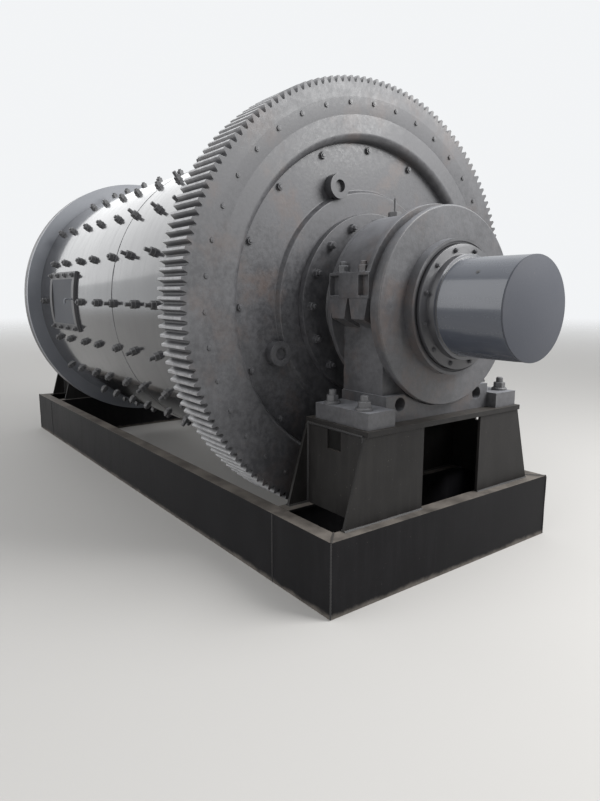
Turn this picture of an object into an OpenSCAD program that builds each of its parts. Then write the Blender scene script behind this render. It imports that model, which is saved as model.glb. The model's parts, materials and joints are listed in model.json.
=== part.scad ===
// Ball mill on its own steel base frame, with a girth gear at the drive end.
// X runs along the mill's axis towards the drive end, Z is up, and the ground is at z = 0.
// The drum's length and radius and the journal's radius set the places of everything else.
// Both ends are alike apart from the gear and the manhole, so an end piece is drawn once and mirrored.

/* [Drum] */
// Inside radius of the drum's shell
shell_in_r = 915; // [850:5:1000]
// Thickness of the shell's plate
shell_t = 16; // [10:1:25]
// Length of the shell between its end faces
shell_l = 3020; // [2600:10:3400]
// How far the drum's middle lies from the frame's middle, towards the drive end
drum_shift = 60; // [0:5:80]
// How far the shell's end flanges stand out from the shell
flange_w = 106; // [90:2:130]
// Thickness of the shell's end flanges
flange_t = 40; // [25:1:60]
// Thickness of the flat head
head_t = 78; // [60:2:100]
// Radius of the boss in the middle of the head
head_boss_r = 600; // [560:5:640]
// Height of that boss
head_boss_h = 27; // [15:1:40]
// Radius at which the eye bosses stand
eye_circle_r = 640; // [600:5:700]
// Radius of an eye boss
eye_r = 62; // [40:1:80]
// Height of an eye boss above the head's face
eye_h = 52; // [42:1:54]
// Radius of the dish in an eye boss
eye_dish_r = 31; // [20:1:36]
// Depth of that dish
eye_dish_h = 20; // [10:1:30]
// Angle of the first eye boss
eye_angle = 21; // [0:1:90]
// Number of eye bosses on a head
eye_count = 4; // [2:1:6]

/* [Girth gear] */
// Number of teeth
gear_teeth = 164; // [150:1:180]
// Depth of a tooth
tooth_h = 30; // [20:1:36]
// Thickness of the gear's rim under the teeth
gear_rim_t = 67; // [50:1:90]
// Width of the gear's face
gear_w = 243; // [200:1:280]
// Gap between the gear's rim and the shell's flange
gear_seat_gap = 3; // [1:0.5:6]
// Thickness of the gear's inward flange, which is bolted to the head
gear_flange_t = 55; // [55:1:70]
// How far that flange reaches inwards from the edge of the head
gear_flange_w = 201; // [150:1:230]
// How far the rim stands out past that flange
gear_rim_lip = 10; // [4:1:20]
// Height of the gear's lowest tooth above the ground
gear_ground_gap = 163; // [140:1:200]

/* [Trunnions and tubes] */
// Radius of the journal
journal_r = 270; // [250:2:290]
// Radius of the trunnion's flange
trunnion_flange_r = 477; // [440:1:500]
// Thickness of the trunnion's flange
trunnion_flange_t = 40; // [30:1:60]
// How much wider the trunnion's neck is where it leaves its flange
neck_flare = 60; // [30:2:90]
// Length of plain journal between the neck and the inner bearing cover
neck_gap = 10; // [4:1:30]
// How far the journal stands out of the bearing's outer cover
trunnion_out = 45; // [10:1:60]
// Outside radius of the end tube
tube_r = 225; // [200:1:240]
// Wall of the end tube
tube_t = 10; // [6:1:20]
// Length of the end tube, from its bolted flange's face to its closed end
tube_l = 375; // [250:5:500]
// How far the tube's bolted flange stands out from the tube
tube_flange_w = 63; // [50:1:80]
// Thickness of the tube's bolted flange
tube_flange_t = 22; // [14:1:36]
// How far the collar at the foot of the tube stands out from it
collar_w = 17; // [8:1:30]
// Length of that collar
collar_l = 36; // [20:1:60]
// Thickness of the plate that closes the tube
blank_t = 8; // [5:1:16]

/* [Bearings] */
// Gap between the trunnion's flange and the bearing housing
bearing_gap = 180; // [150:2:240]
// Width of the bearing housing along the axis
housing_w = 270; // [240:2:320]
// Running clearance between the journal and its bush
journal_gap = 0.3; // [0.3:0.05:0.5]
// Wall of the bearing bush, with its running clearance
bush_t = 50; // [30:1:70]
// Wall of the bearing cap over the bush
cap_wall = 125; // [110:1:150]
// Wall of the lower housing beside the bush
housing_wall = 40; // [30:1:60]
// Height of the housing's parting face above the axis
split_rise = 42; // [20:1:60]
// How far the bolting lugs and shoulders stand out from the lower housing
lug_w = 98; // [80:1:120]
// Length of a bolting lug along the axis
lug_l = 125; // [80:1:130]
// How much shorter it is at its foot, at each end
lug_taper = 20; // [0:1:30]
// Distance of a lug from the housing's end
lug_inset = 5; // [0:1:10]
// Height of the cap's side shoulder above the parting face
shoulder_h = 116; // [90:2:140]
// Depth of a lug below the parting face at its outer edge
lug_h = 92; // [60:2:110]
// How much deeper a lug is where it meets the housing
lug_slope = 45; // [20:1:70]
// How far the rim at the cap's outer end stands out past the cap
cap_rim_w = 33; // [10:1:40]
// Width of that rim along the axis
cap_rim_l = 28; // [16:1:40]
// Length of a pocket in the cap's shoulder
pocket_l = 62; // [40:1:64]
// Depth of that pocket
pocket_d = 30; // [16:1:80]
// Thickness of the metal over and under the pocket
pocket_edge = 13; // [8:1:24]
// Thickness of the metal between the pocket and the housing's end
pocket_wall = 6; // [4:1:20]
// Width of a bearing's foot
foot_w = 165; // [140:5:200]
// Height of the feet
foot_h = 76; // [50:2:100]
// Gap between the feet and the pedestal's edge, at the sides
foot_edge = 20; // [5:1:40]
// Gap between the feet and the pedestal's outer upright, at the end
foot_inset = 8; // [0:1:20]
// How far a foot reaches past the lug above it
foot_out = 77; // [60:1:100]
// Height of the plinth between the feet
plinth_h = 124; // [90:2:150]
// How far the plinth stands out past the housing's end
plinth_out = 38; // [20:1:60]
// Radius of the two round holes in the plinth's face
plinth_hole_r = 33; // [20:1:36]
// Sideways place of those holes
plinth_hole_y = 280; // [270:1:300]
// Height of those holes above the pedestal
plinth_hole_z = 81; // [60:1:85]
// Depth of those holes
plinth_hole_d = 60; // [20:1:80]

/* [Bearing covers] */
// How far the outer cover's rim stands out past the cap
cover_over = 22; // [12:1:40]
// Depth of the outer cover
cover_t = 80; // [60:1:120]
// Thickness of the cover's rim
cover_rim_t = 27; // [18:1:50]
// Rounding of that rim
cover_round = 8; // [3:1:16]
// Gap between the cover's hole and the tube's bolted flange
cover_hole_gap = 14; // [8:1:30]
// Width of the raised ring round the cover's hole
cover_ring_w = 14; // [8:1:24]
// Height of that ring
cover_ring_h = 47; // [10:1:60]
// Gap between the outer cover and the pedestal's top
cover_gap = 57; // [30:1:80]
// Gap between the plinth and the outer cover
plinth_gap = 5; // [2:1:10]
// Thickness of the inner cover
inner_cover_t = 25; // [15:1:40]
// Gap between the inner cover's hole and the journal
seal_gap = 12; // [6:1:20]

/* [Pedestals] */
// Length of a pedestal between the outer faces of its uprights
pedestal_l = 410; // [390:5:480]
// Distance of the bearing housing's inner end from the inner upright's face
pedestal_inset = 35; // [20:1:50]
// How much wider a pedestal is at its foot, on each side
pedestal_slope = 117; // [60:1:150]
// Thickness of the pedestal's plates
pedestal_plate_t = 16; // [10:1:24]
// Thickness of the top plate
top_plate_t = 25; // [16:1:40]
// How far the top plate stands out past the outer upright
top_plate_lip = 12; // [0:1:20]
// Width of the opening in the outer upright
pedestal_opening_w = 420; // [300:10:500]
// Sideways place of that opening's middle
pedestal_opening_y = 28; // [-40:2:40]
// Width of the window in each side web
side_window_w = 95; // [60:5:140]
// Height of the window in each side web
side_window_h = 100; // [60:5:140]

/* [Base frame] */
// Height of the frame's channel beams
beam_h = 348; // [300:2:390]
// Width of a channel's flanges
beam_flange_w = 82; // [72:2:100]
// Thickness of a channel's flanges
beam_flange_t = 14; // [8:1:24]
// Thickness of a channel's web
beam_web_t = 10; // [6:1:20]
// How far the frame reaches past a pedestal at the mill's end
frame_end = 55; // [40:1:65]
// How far the frame reaches past a pedestal's foot at the side
frame_side = 118; // [90:1:150]
// Distance of a cross beam's web from the face of the inner upright that it carries
cross_beam_inset = 35; // [20:1:55]

/* [Manhole] */
// Distance of the manhole's middle from the drum's middle, towards the tail end
manhole_x = 810; // [700:5:900]
// Length of the manhole's door along the drum
door_w = 512; // [420:2:600]
// Height of the manhole's door
door_h = 332; // [280:2:400]
// Thickness of the flat door
door_t = 40; // [34:1:60]
// How far the door's flat face stands out past the shell
door_rise = 5; // [0:1:14]
// Gap between the door and the hole that it closes
door_gap = 0.5; // [0.3:0.1:0.9]
// Width of the curved frame round the door
door_border = 55; // [45:1:80]
// Thickness of that frame
door_frame_t = 18; // [10:1:30]
// Radius of the handle's rod
handle_r = 6; // [4:0.5:10]
// How far the handle stands out from the frame
handle_out = 55; // [30:1:90]
// How far its end hangs down
handle_drop = 33; // [16:1:60]
// Radius of its bend, at the middle of the rod
handle_bend_r = 12; // [11:1:15]
// Height of the handle above the mill's axis
handle_rise = 21; // [-100:1:100]

/* [Hidden] */
$fn = 120;
cut = 1;                                              // how far a cutting shape passes through
tooth_root_half = 0.40;                               // half of a tooth's thickness at its root, in steps
tooth_mid_half = 0.25;                                // the same halfway up
tooth_tip_half = 0.14;                                // the same at its tip
shell_r = shell_in_r + shell_t;
flange_r = shell_r + flange_w;                        // edge of the shell's flanges and of the heads
drive_end_x = shell_l / 2 + drum_shift;               // the shell's drive end, from the frame's middle
tail_end_x = shell_l / 2 - drum_shift;                // its tail end, also as a distance
head_stack = head_t + head_boss_h;                    // from the shell's end to the trunnion's flange
flange_stack = head_stack + trunnion_flange_t;        // from the shell's end to that flange's outer face
gear_bore_r = flange_r + gear_seat_gap;
gear_root_r = gear_bore_r + gear_rim_t;
gear_mid_r = gear_root_r + tooth_h / 2;
gear_tip_r = gear_root_r + tooth_h;
gear_hole_r = flange_r - gear_flange_w;               // hole in the gear's inward flange
gear_seat_x = drive_end_x + head_t;                   // the head's face, where the gear is bolted on
gear_flange_x = gear_seat_x + gear_flange_t;
gear_x = gear_flange_x + gear_rim_lip;                // the gear's outer face
gear_inner_x = gear_x - gear_w;
tooth_step = 360 / gear_teeth;
axis_z = gear_tip_r + gear_ground_gap;                // height of the mill's axis
bore_r = tube_r - tube_t;                             // the passage through trunnion and tube
neck_r = journal_r + neck_flare;
housing_x = drive_end_x + flange_stack + bearing_gap; // inner end of a bearing housing
housing_end_x = housing_x + housing_w;
cover_x = housing_end_x + cover_t;
neck_end_x = housing_x - inner_cover_t - neck_gap;    // where the neck meets the journal
trunnion_end_x = cover_x + trunnion_out;
tube_flange_r = tube_r + tube_flange_w;
tube_face_x = trunnion_end_x + tube_flange_t;         // outer face of the tube's flange
collar_end_x = tube_face_x + collar_l;
tube_end_x = tube_face_x + tube_l;
blank_x = tube_end_x - blank_t;                       // where the tube's wall meets its end plate
bush_r = journal_r + journal_gap;                     // bore of the bush
housing_bore_r = journal_r + bush_t;
cap_r = housing_bore_r + cap_wall;
cover_r = cap_r + cover_over;
cover_hole_r = tube_flange_r + cover_hole_gap;
housing_half_w = housing_bore_r + housing_wall;
lug_half_w = housing_half_w + lug_w;
split_z = axis_z + split_rise;                        // parting face of the bearing housing
top_z = axis_z - cover_r - cover_gap;                 // top of a pedestal, where the bearing stands
plate_top_z = top_z - top_plate_t;                    // top of the upright plates
foot_out_y = lug_half_w + foot_out;
foot_in_y = foot_out_y - foot_w;
pedestal_top_half_w = foot_out_y + foot_edge;
pedestal_foot_half_w = pedestal_top_half_w + pedestal_slope;
inner_plate_x = housing_x - pedestal_inset;           // outer face of a pedestal's inner upright
outer_plate_x = inner_plate_x + pedestal_l;           // outer face of its outer upright
foot_end_x = outer_plate_x - foot_inset;              // outer end of a bearing's feet
cross_beam_x = inner_plate_x - cross_beam_inset;      // a cross beam's web
beam_x = outer_plate_x + frame_end;                   // outer face of an end beam
beam_y = pedestal_foot_half_w + frame_side;           // outer face of a side beam
door_x = drum_shift - manhole_x;                      // the manhole's middle
door_hole_w = door_w + 2 * door_gap;
door_hole_h = door_h + 2 * door_gap;
door_frame_r = shell_r + door_frame_t;

frame_colour = [0.11, 0.11, 0.12];
drum_colour = [0.14, 0.14, 0.15];
gear_colour = [0.24, 0.24, 0.25];
tube_colour = [0.2, 0.21, 0.24];
bush_colour = [0.72, 0.53, 0.04];

// A ring or disc about the mill's axis, from x0 to x1
module ring(x0, x1, r_out, r_in = 0) {
    translate([x0, 0, axis_z]) rotate([0, 90, 0])
        difference() {
            cylinder(h = x1 - x0, r = r_out);
            if (r_in > 0) translate([0, 0, -cut]) cylinder(h = x1 - x0 + 2 * cut, r = r_in);
        }
}

// A turned piece about the mill's axis, from [radius, x] points
module turned(points) {
    translate([0, 0, axis_z]) rotate([0, 90, 0]) rotate_extrude() polygon(points);
}

// A piece drawn for the drive end, put at the tail end
module at_tail() {
    mirror([1, 0, 0]) children();
}

// A piece drawn at the right, made again at the left
module both_sides() {
    for (side = [0, 1]) mirror([0, side, 0]) children();
}

// A box given by its lowest and highest corners
module block(low, high) {
    translate(low) cube(high - low);
}

// A channel's outline, with its web's outer face at 0 and its flanges towards +x
module channel_outline() {
    difference() {
        square([beam_flange_w, beam_h]);
        translate([beam_web_t, beam_flange_t]) square([beam_flange_w, beam_h - 2 * beam_flange_t]);
    }
}

// The side beam at the right, cut at 45 degrees where the end beams meet it
module side_beam() color(frame_colour) {
    intersection() {
        translate([-beam_x, beam_y, 0]) rotate([90, 0, 90]) mirror([1, 0, 0])
            linear_extrude(2 * beam_x) channel_outline();
        translate([0, 0, -cut]) linear_extrude(beam_h + 2 * cut)
            polygon([[-beam_x, beam_y], [beam_x, beam_y],
                [beam_x - beam_flange_w, beam_y - beam_flange_w],
                [beam_flange_w - beam_x, beam_y - beam_flange_w]]);
    }
}

// The end beam at the drive end, cut at 45 degrees where the side beams meet it
module end_beam() color(frame_colour) {
    intersection() {
        translate([beam_x, beam_y, 0]) rotate([90, 0, 0]) mirror([1, 0, 0])
            linear_extrude(2 * beam_y) channel_outline();
        translate([0, 0, -cut]) linear_extrude(beam_h + 2 * cut)
            polygon([[beam_x, -beam_y], [beam_x, beam_y],
                [beam_x - beam_flange_w, beam_y - beam_flange_w],
                [beam_x - beam_flange_w, beam_flange_w - beam_y]]);
    }
}

// A cross beam under a pedestal's inner upright, notched round the side beams' flanges
module cross_beam() color(frame_colour) {
    difference() {
        translate([cross_beam_x, beam_y - beam_web_t, 0]) rotate([90, 0, 0])
            linear_extrude(2 * (beam_y - beam_web_t)) channel_outline();
        both_sides() for (z = [-cut, beam_h - beam_flange_t])
            translate([cross_beam_x - cut, beam_y - beam_flange_w, z])
                cube([beam_flange_w + 2 * cut, beam_flange_w, beam_flange_t + cut]);
    }
}

// The outline of an upright, seen along the mill's axis
module upright_outline() {
    polygon([[-pedestal_foot_half_w, beam_h], [pedestal_foot_half_w, beam_h],
        [pedestal_top_half_w, plate_top_z], [-pedestal_top_half_w, plate_top_z]]);
}

// An upright plate whose outer face is at x
module upright(x) {
    translate([x - pedestal_plate_t, 0, 0]) rotate([90, 0, 90]) linear_extrude(pedestal_plate_t) children();
}

module pedestal_outer_plate() color(frame_colour) {
    upright(outer_plate_x) difference() {
        upright_outline();
        translate([pedestal_opening_y - pedestal_opening_w / 2, beam_h - cut])
            square([pedestal_opening_w, plate_top_z - beam_h + 2 * cut]);
    }
}

module pedestal_inner_plate() color(frame_colour) {
    upright(inner_plate_x) upright_outline();
}

// The two side webs between a pedestal's uprights, each with its window under the top plate
module pedestal_webs() color(frame_colour) {
    web_end_x = outer_plate_x - pedestal_plate_t;
    web_in_y = pedestal_top_half_w - pedestal_plate_t;
    window_x = (inner_plate_x + web_end_x - side_window_w) / 2;
    both_sides() difference() {
        block([inner_plate_x, web_in_y, beam_h], [web_end_x, pedestal_top_half_w, plate_top_z]);
        block([window_x, web_in_y - cut, plate_top_z - side_window_h],
            [window_x + side_window_w, pedestal_top_half_w + cut, plate_top_z + cut]);
    }
}

module top_plate() color(frame_colour) {
    block([inner_plate_x - pedestal_plate_t, -pedestal_top_half_w, plate_top_z],
        [outer_plate_x + top_plate_lip, pedestal_top_half_w, top_z]);
}

// The two lugs that take the cap's bolts at one side, shorter and deeper towards the housing's foot
module housing_lugs() {
    low_z = split_z - lug_h;
    foot_z = low_z - lug_slope;
    for (x = [housing_x + lug_inset, housing_end_x - lug_inset - lug_l]) intersection() {
        translate([x, 0, 0]) rotate([90, 0, 90]) linear_extrude(lug_l)
            polygon([[housing_half_w - cut, split_z], [lug_half_w, split_z], [lug_half_w, low_z],
                [housing_half_w - cut, foot_z]]);
        translate([x, lug_half_w + cut, 0]) rotate([90, 0, 0]) linear_extrude(lug_w + 3 * cut)
            polygon([[0, split_z], [lug_l, split_z], [lug_l - lug_taper, low_z], [lug_l - lug_taper, foot_z],
                [lug_taper, foot_z], [lug_taper, low_z]]);
    }
}

// The lower half of a bearing, with its plinth, its feet and its bolting lugs
module bearing_housing() color(drum_colour) {
    plinth_x = housing_end_x + plinth_out;
    difference() {
        union() {
            block([housing_x, -housing_half_w, top_z], [housing_end_x, housing_half_w, split_z]);
            block([housing_x, -foot_in_y, top_z], [plinth_x, foot_in_y, top_z + plinth_h]);
            both_sides() block([housing_x, foot_in_y - cut, top_z], [foot_end_x, foot_out_y, top_z + foot_h]);
            both_sides() housing_lugs();
        }
        ring(housing_x - cut, housing_end_x + cut, housing_bore_r);
        ring(housing_end_x, foot_end_x + cut, cover_r + plinth_gap);
        both_sides() translate([plinth_x - plinth_hole_d, plinth_hole_y, top_z + plinth_hole_z])
            rotate([0, 90, 0]) cylinder(h = plinth_hole_d + cut, r = plinth_hole_r);
    }
}

// The shallow pockets in the cap's shoulders, one at each end
module shoulder_pockets() {
    low_z = split_z + pocket_edge;
    high_z = split_z + shoulder_h - pocket_edge;
    both_sides() for (x = [housing_x + pocket_wall, housing_end_x - pocket_wall - pocket_l])
        block([x, lug_half_w - pocket_d, low_z], [x + pocket_l, lug_half_w + cut, high_z]);
}

// The upper half of a bearing: a round cap with a rim, and straight shoulders over the parting face
module bearing_cap() color(drum_colour) {
    shoulder_z = split_z + shoulder_h;
    rim_r = cap_r + cap_rim_w;
    difference() {
        union() {
            intersection() {
                ring(housing_x, housing_end_x, cap_r);
                block([housing_x - cut, -cap_r - cut, split_z],
                    [housing_end_x + cut, cap_r + cut, axis_z + cap_r + cut]);
            }
            intersection() {
                ring(housing_end_x - cap_rim_l, housing_end_x, rim_r);
                block([housing_end_x - cap_rim_l - cut, -rim_r, shoulder_z - cut],
                    [housing_end_x + cut, rim_r, axis_z + rim_r + cut]);
            }
            block([housing_x, -lug_half_w, split_z], [housing_end_x, lug_half_w, shoulder_z]);
        }
        ring(housing_x - cut, housing_end_x + cut, housing_bore_r);
        shoulder_pockets();
    }
}

module bearing_bush() color(bush_colour) {
    ring(housing_x, housing_end_x, housing_bore_r, bush_r);
}

// The big round cover on a bearing's outer end, with a rounded rim and with a ring round its hole
module bearing_outer_cover() color(drum_colour) {
    translate([0, 0, axis_z]) rotate([0, 90, 0]) rotate_extrude() {
        difference() {
            union() {
                translate([cover_hole_r, housing_end_x]) square([cap_r - cover_hole_r, cover_t]);
                translate([cover_hole_r, cover_x - cover_rim_t]) square([cover_r - cover_hole_r, cover_rim_t]);
            }
            difference() {
                translate([cover_r - cover_round, cover_x - cover_round]) square(cover_round + cut);
                translate([cover_r - cover_round, cover_x - cover_round]) circle(r = cover_round);
            }
        }
        translate([cover_hole_r, cover_x - cut]) square([cover_ring_w, cover_ring_h + cut]);
    }
}

module bearing_inner_cover() color(drum_colour) {
    ring(housing_x - inner_cover_t, housing_x, cap_r, journal_r + seal_gap);
}

// The drum's rolled shell, with the manhole cut through it
module shell() color(drum_colour) {
    difference() {
        ring(-tail_end_x, drive_end_x, shell_r, shell_in_r);
        door_hole(shell_r);
    }
}

// An end flange of the shell, whose outer face is at end_x
module shell_flange(end_x) color(drum_colour) {
    ring(end_x - flange_t, end_x, flange_r, shell_r);
}

// The flat cast head that closes an end of the drum, with its boss
module head(end_x) color(gear_colour) {
    face_x = end_x + head_t;
    top_x = end_x + head_stack;
    turned([[bore_r, end_x], [flange_r, end_x], [flange_r, face_x], [head_boss_r, face_x],
        [head_boss_r - head_boss_h / 2, top_x], [bore_r, top_x]]);
}

// The round eye bosses on the head, each with a shallow dish in its face
module head_eyes(end_x) color(gear_colour) {
    for (k = [0:eye_count - 1]) translate([end_x + head_t, 0, axis_z])
        rotate([eye_angle + 360 * k / eye_count, 0, 0]) difference() {
            translate([0, eye_circle_r, 0]) rotate([0, 90, 0]) cylinder(h = eye_h, r = eye_r);
            translate([-cut, 0, 0]) rotate([0, 90, 0]) cylinder(h = head_boss_h + cut, r = head_boss_r);
            translate([eye_h - eye_dish_h, eye_circle_r, 0]) rotate([0, 90, 0])
                cylinder(h = eye_dish_h + cut, r = eye_dish_r);
        }
}

// The hollow trunnion: its flange on the head, a tapering neck and the journal
module trunnion(end_x) color(gear_colour) {
    seat_x = end_x + head_stack;
    face_x = end_x + flange_stack;
    turned([[bore_r, seat_x], [trunnion_flange_r, seat_x], [trunnion_flange_r, face_x],
        [neck_r, face_x], [journal_r, neck_end_x],
        [journal_r, trunnion_end_x], [bore_r, trunnion_end_x]]);
}

// The end tube, its collar and the flange that bolts it to the trunnion
module tube() color(tube_colour) {
    collar_r = tube_r + collar_w;
    turned([[bore_r, trunnion_end_x], [tube_flange_r, trunnion_end_x], [tube_flange_r, tube_face_x],
        [collar_r, tube_face_x], [collar_r, collar_end_x], [tube_r, collar_end_x],
        [tube_r, blank_x], [bore_r, blank_x]]);
}

module tube_plate() color(tube_colour) {
    ring(blank_x, tube_end_x, tube_r);
}

// A point at a radius from the gear's centre, and at an angle in steps of a tooth
function tooth_point(r, step) = r * [cos(step * tooth_step), sin(step * tooth_step)];

// One tooth's outline, from root to tip and back
function tooth(k) = [
    tooth_point(gear_root_r, k - tooth_root_half), tooth_point(gear_mid_r, k - tooth_mid_half),
    tooth_point(gear_tip_r, k - tooth_tip_half), tooth_point(gear_tip_r, k + tooth_tip_half),
    tooth_point(gear_mid_r, k + tooth_mid_half), tooth_point(gear_root_r, k + tooth_root_half)];

// The girth gear: a toothed rim round the drum's flange and the head, and the flange inside it
module girth_gear() color(gear_colour) {
    difference() {
        translate([gear_inner_x, 0, axis_z]) rotate([90, 0, 90])
            linear_extrude(gear_w) polygon([for (k = [0:gear_teeth - 1]) each tooth(k)]);
        ring(gear_inner_x - cut, gear_seat_x, gear_bore_r);
        ring(gear_flange_x, gear_x + cut, gear_bore_r);
        ring(gear_seat_x - cut, gear_x, gear_hole_r);
    }
}

// The block that cuts the manhole's opening, out to radius r
module door_hole(r) {
    block([door_x - door_hole_w / 2, -r - cut, axis_z - door_hole_h / 2],
        [door_x + door_hole_w / 2, 0, axis_z + door_hole_h / 2]);
}

// The frame round the manhole, rolled to the drum
module manhole_frame() color(drum_colour) {
    half_w = door_hole_w / 2 + door_border;
    half_h = door_hole_h / 2 + door_border;
    difference() {
        intersection() {
            ring(door_x - half_w, door_x + half_w, door_frame_r, shell_r);
            block([door_x - half_w - cut, -door_frame_r - cut, axis_z - half_h],
                [door_x + half_w + cut, 0, axis_z + half_h]);
        }
        door_hole(door_frame_r);
    }
}

// The flat door, a plug that fills the opening in the shell
module manhole_door() color(drum_colour) {
    face_y = -shell_r - door_rise;
    block([door_x - door_w / 2, face_y, axis_z - door_h / 2],
        [door_x + door_w / 2, face_y + door_t, axis_z + door_h / 2]);
}

// The bent rod on the frame's drive side: straight out, round a quarter bend and down
module manhole_handle() color(drum_colour) {
    seat_y = -sqrt(door_frame_r * door_frame_r - handle_rise * handle_rise);
    translate([door_x + (door_hole_w + door_border) / 2, seat_y, axis_z + handle_rise]) {
        rotate([90, 0, 0]) cylinder(h = handle_out - handle_bend_r, r = handle_r);
        translate([0, handle_bend_r - handle_out, -handle_bend_r]) rotate([90, 0, 90]) rotate([0, 0, 90])
            rotate_extrude(angle = 90) translate([handle_bend_r, 0]) circle(r = handle_r);
        translate([0, -handle_out, -handle_drop]) cylinder(h = handle_drop - handle_bend_r, r = handle_r);
    }
}

mirror([0, 1, 0]) side_beam();  // side_beam_left
side_beam();  // side_beam_right
end_beam();  // drive_end_beam
at_tail() end_beam();  // tail_end_beam
cross_beam();  // drive_cross_beam
at_tail() cross_beam();  // tail_cross_beam
pedestal_outer_plate();  // drive_pedestal_outer_plate
pedestal_inner_plate();  // drive_pedestal_inner_plate
pedestal_webs();  // drive_pedestal_webs
top_plate();  // drive_top_plate
at_tail() pedestal_outer_plate();  // tail_pedestal_outer_plate
at_tail() pedestal_inner_plate();  // tail_pedestal_inner_plate
at_tail() pedestal_webs();  // tail_pedestal_webs
at_tail() top_plate();  // tail_top_plate
bearing_housing();  // drive_bearing_housing
bearing_cap();  // drive_bearing_cap
bearing_bush();  // drive_bearing_bush
bearing_outer_cover();  // drive_bearing_outer_cover
bearing_inner_cover();  // drive_bearing_inner_cover
at_tail() bearing_housing();  // tail_bearing_housing
at_tail() bearing_cap();  // tail_bearing_cap
at_tail() bearing_bush();  // tail_bearing_bush
at_tail() bearing_outer_cover();  // tail_bearing_outer_cover
at_tail() bearing_inner_cover();  // tail_bearing_inner_cover
shell();
shell_flange(drive_end_x);  // drive_shell_flange
at_tail() shell_flange(tail_end_x);  // tail_shell_flange
head(drive_end_x);  // drive_head
at_tail() head(tail_end_x);  // tail_head
head_eyes(drive_end_x);  // drive_head_eyes
at_tail() head_eyes(tail_end_x);  // tail_head_eyes
trunnion(drive_end_x);  // drive_trunnion
at_tail() trunnion(tail_end_x);  // tail_trunnion
girth_gear();
tube();  // drive_tube
at_tail() tube();  // tail_tube
tube_plate();  // drive_tube_plate
at_tail() tube_plate();  // tail_tube_plate
manhole_frame();
manhole_door();
manhole_handle();
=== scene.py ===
"""Ball mill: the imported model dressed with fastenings, welds, fittings and painted finishes.

Every size is in metres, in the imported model's own frame: +X along the mill's axis towards the
drive end, +Z up and the ground at z = 0. Angles about the axis start at +Y and grow towards +Z.
"""

import json
import logging
import math
from dataclasses import dataclass
from enum import Enum
from typing import Callable, Iterable, Protocol, Sequence, Union

import bmesh
import bpy
from mathutils import Matrix, Vector, noise

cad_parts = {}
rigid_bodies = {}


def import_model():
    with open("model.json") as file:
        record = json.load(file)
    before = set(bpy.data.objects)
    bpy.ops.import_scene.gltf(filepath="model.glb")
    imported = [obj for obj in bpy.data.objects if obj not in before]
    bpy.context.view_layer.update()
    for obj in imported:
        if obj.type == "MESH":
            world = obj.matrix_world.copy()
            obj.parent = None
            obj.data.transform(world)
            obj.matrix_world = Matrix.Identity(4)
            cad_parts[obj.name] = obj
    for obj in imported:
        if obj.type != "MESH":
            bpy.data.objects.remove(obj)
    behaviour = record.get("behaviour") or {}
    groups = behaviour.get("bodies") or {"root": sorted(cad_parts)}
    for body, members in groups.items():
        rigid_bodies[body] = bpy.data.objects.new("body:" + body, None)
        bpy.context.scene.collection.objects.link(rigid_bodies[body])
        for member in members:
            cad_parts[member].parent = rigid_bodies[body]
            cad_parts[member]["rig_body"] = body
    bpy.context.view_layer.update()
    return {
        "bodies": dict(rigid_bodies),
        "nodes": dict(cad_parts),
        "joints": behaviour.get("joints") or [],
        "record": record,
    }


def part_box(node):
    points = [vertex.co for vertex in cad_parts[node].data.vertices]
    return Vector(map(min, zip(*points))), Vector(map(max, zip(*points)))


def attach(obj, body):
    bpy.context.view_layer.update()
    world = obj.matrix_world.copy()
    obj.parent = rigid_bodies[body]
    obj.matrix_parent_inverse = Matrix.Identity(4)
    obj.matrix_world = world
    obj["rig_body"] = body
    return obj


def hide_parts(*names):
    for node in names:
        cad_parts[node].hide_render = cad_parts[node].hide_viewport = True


log = logging.getLogger("ball_mill")

Colour = tuple[float, float, float]
Place = tuple[float, float, float]
Number = Union[float, "Socket"]

SHARP_DEGREES = 32.0
"""The angle past which an edge stays sharp."""
SUNK = 0.001
"""How far the foot of a fastening is sunk into a curved surface, or a filler into what holds it."""


class Body(str, Enum):
    """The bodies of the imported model."""

    BASE = "base"
    DRUM = "drum"


class Slot(str, Enum):
    """The record's material slots."""

    FRAME = "frame_paint"
    PEDESTAL = "pedestal_paint"
    BEARING = "bearing_paint"
    BUSH = "bush_metal"
    HEAD = "head_paint"
    GEAR = "gear_paint"
    SHELL = "shell_paint"
    TUBE = "tube_paint"


class End(Enum):
    """An end of the mill, with the sign of its X."""

    DRIVE = 1
    TAIL = -1

    @property
    def title(self) -> str:
        """The word that starts the names of this end's nodes."""
        return self.name.lower()

    def reach(self, node: str) -> tuple[float, float]:
        """Finds how near and how far a node lies from the middle of the mill.

        Args:
            node: The node's name without the word for the end.

        Returns:
            The smallest and the largest distance along the axis.
        """
        low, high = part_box(f"{self.title}_{node}")
        return (low.x, high.x) if self is End.DRIVE else (-high.x, -low.x)


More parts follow.
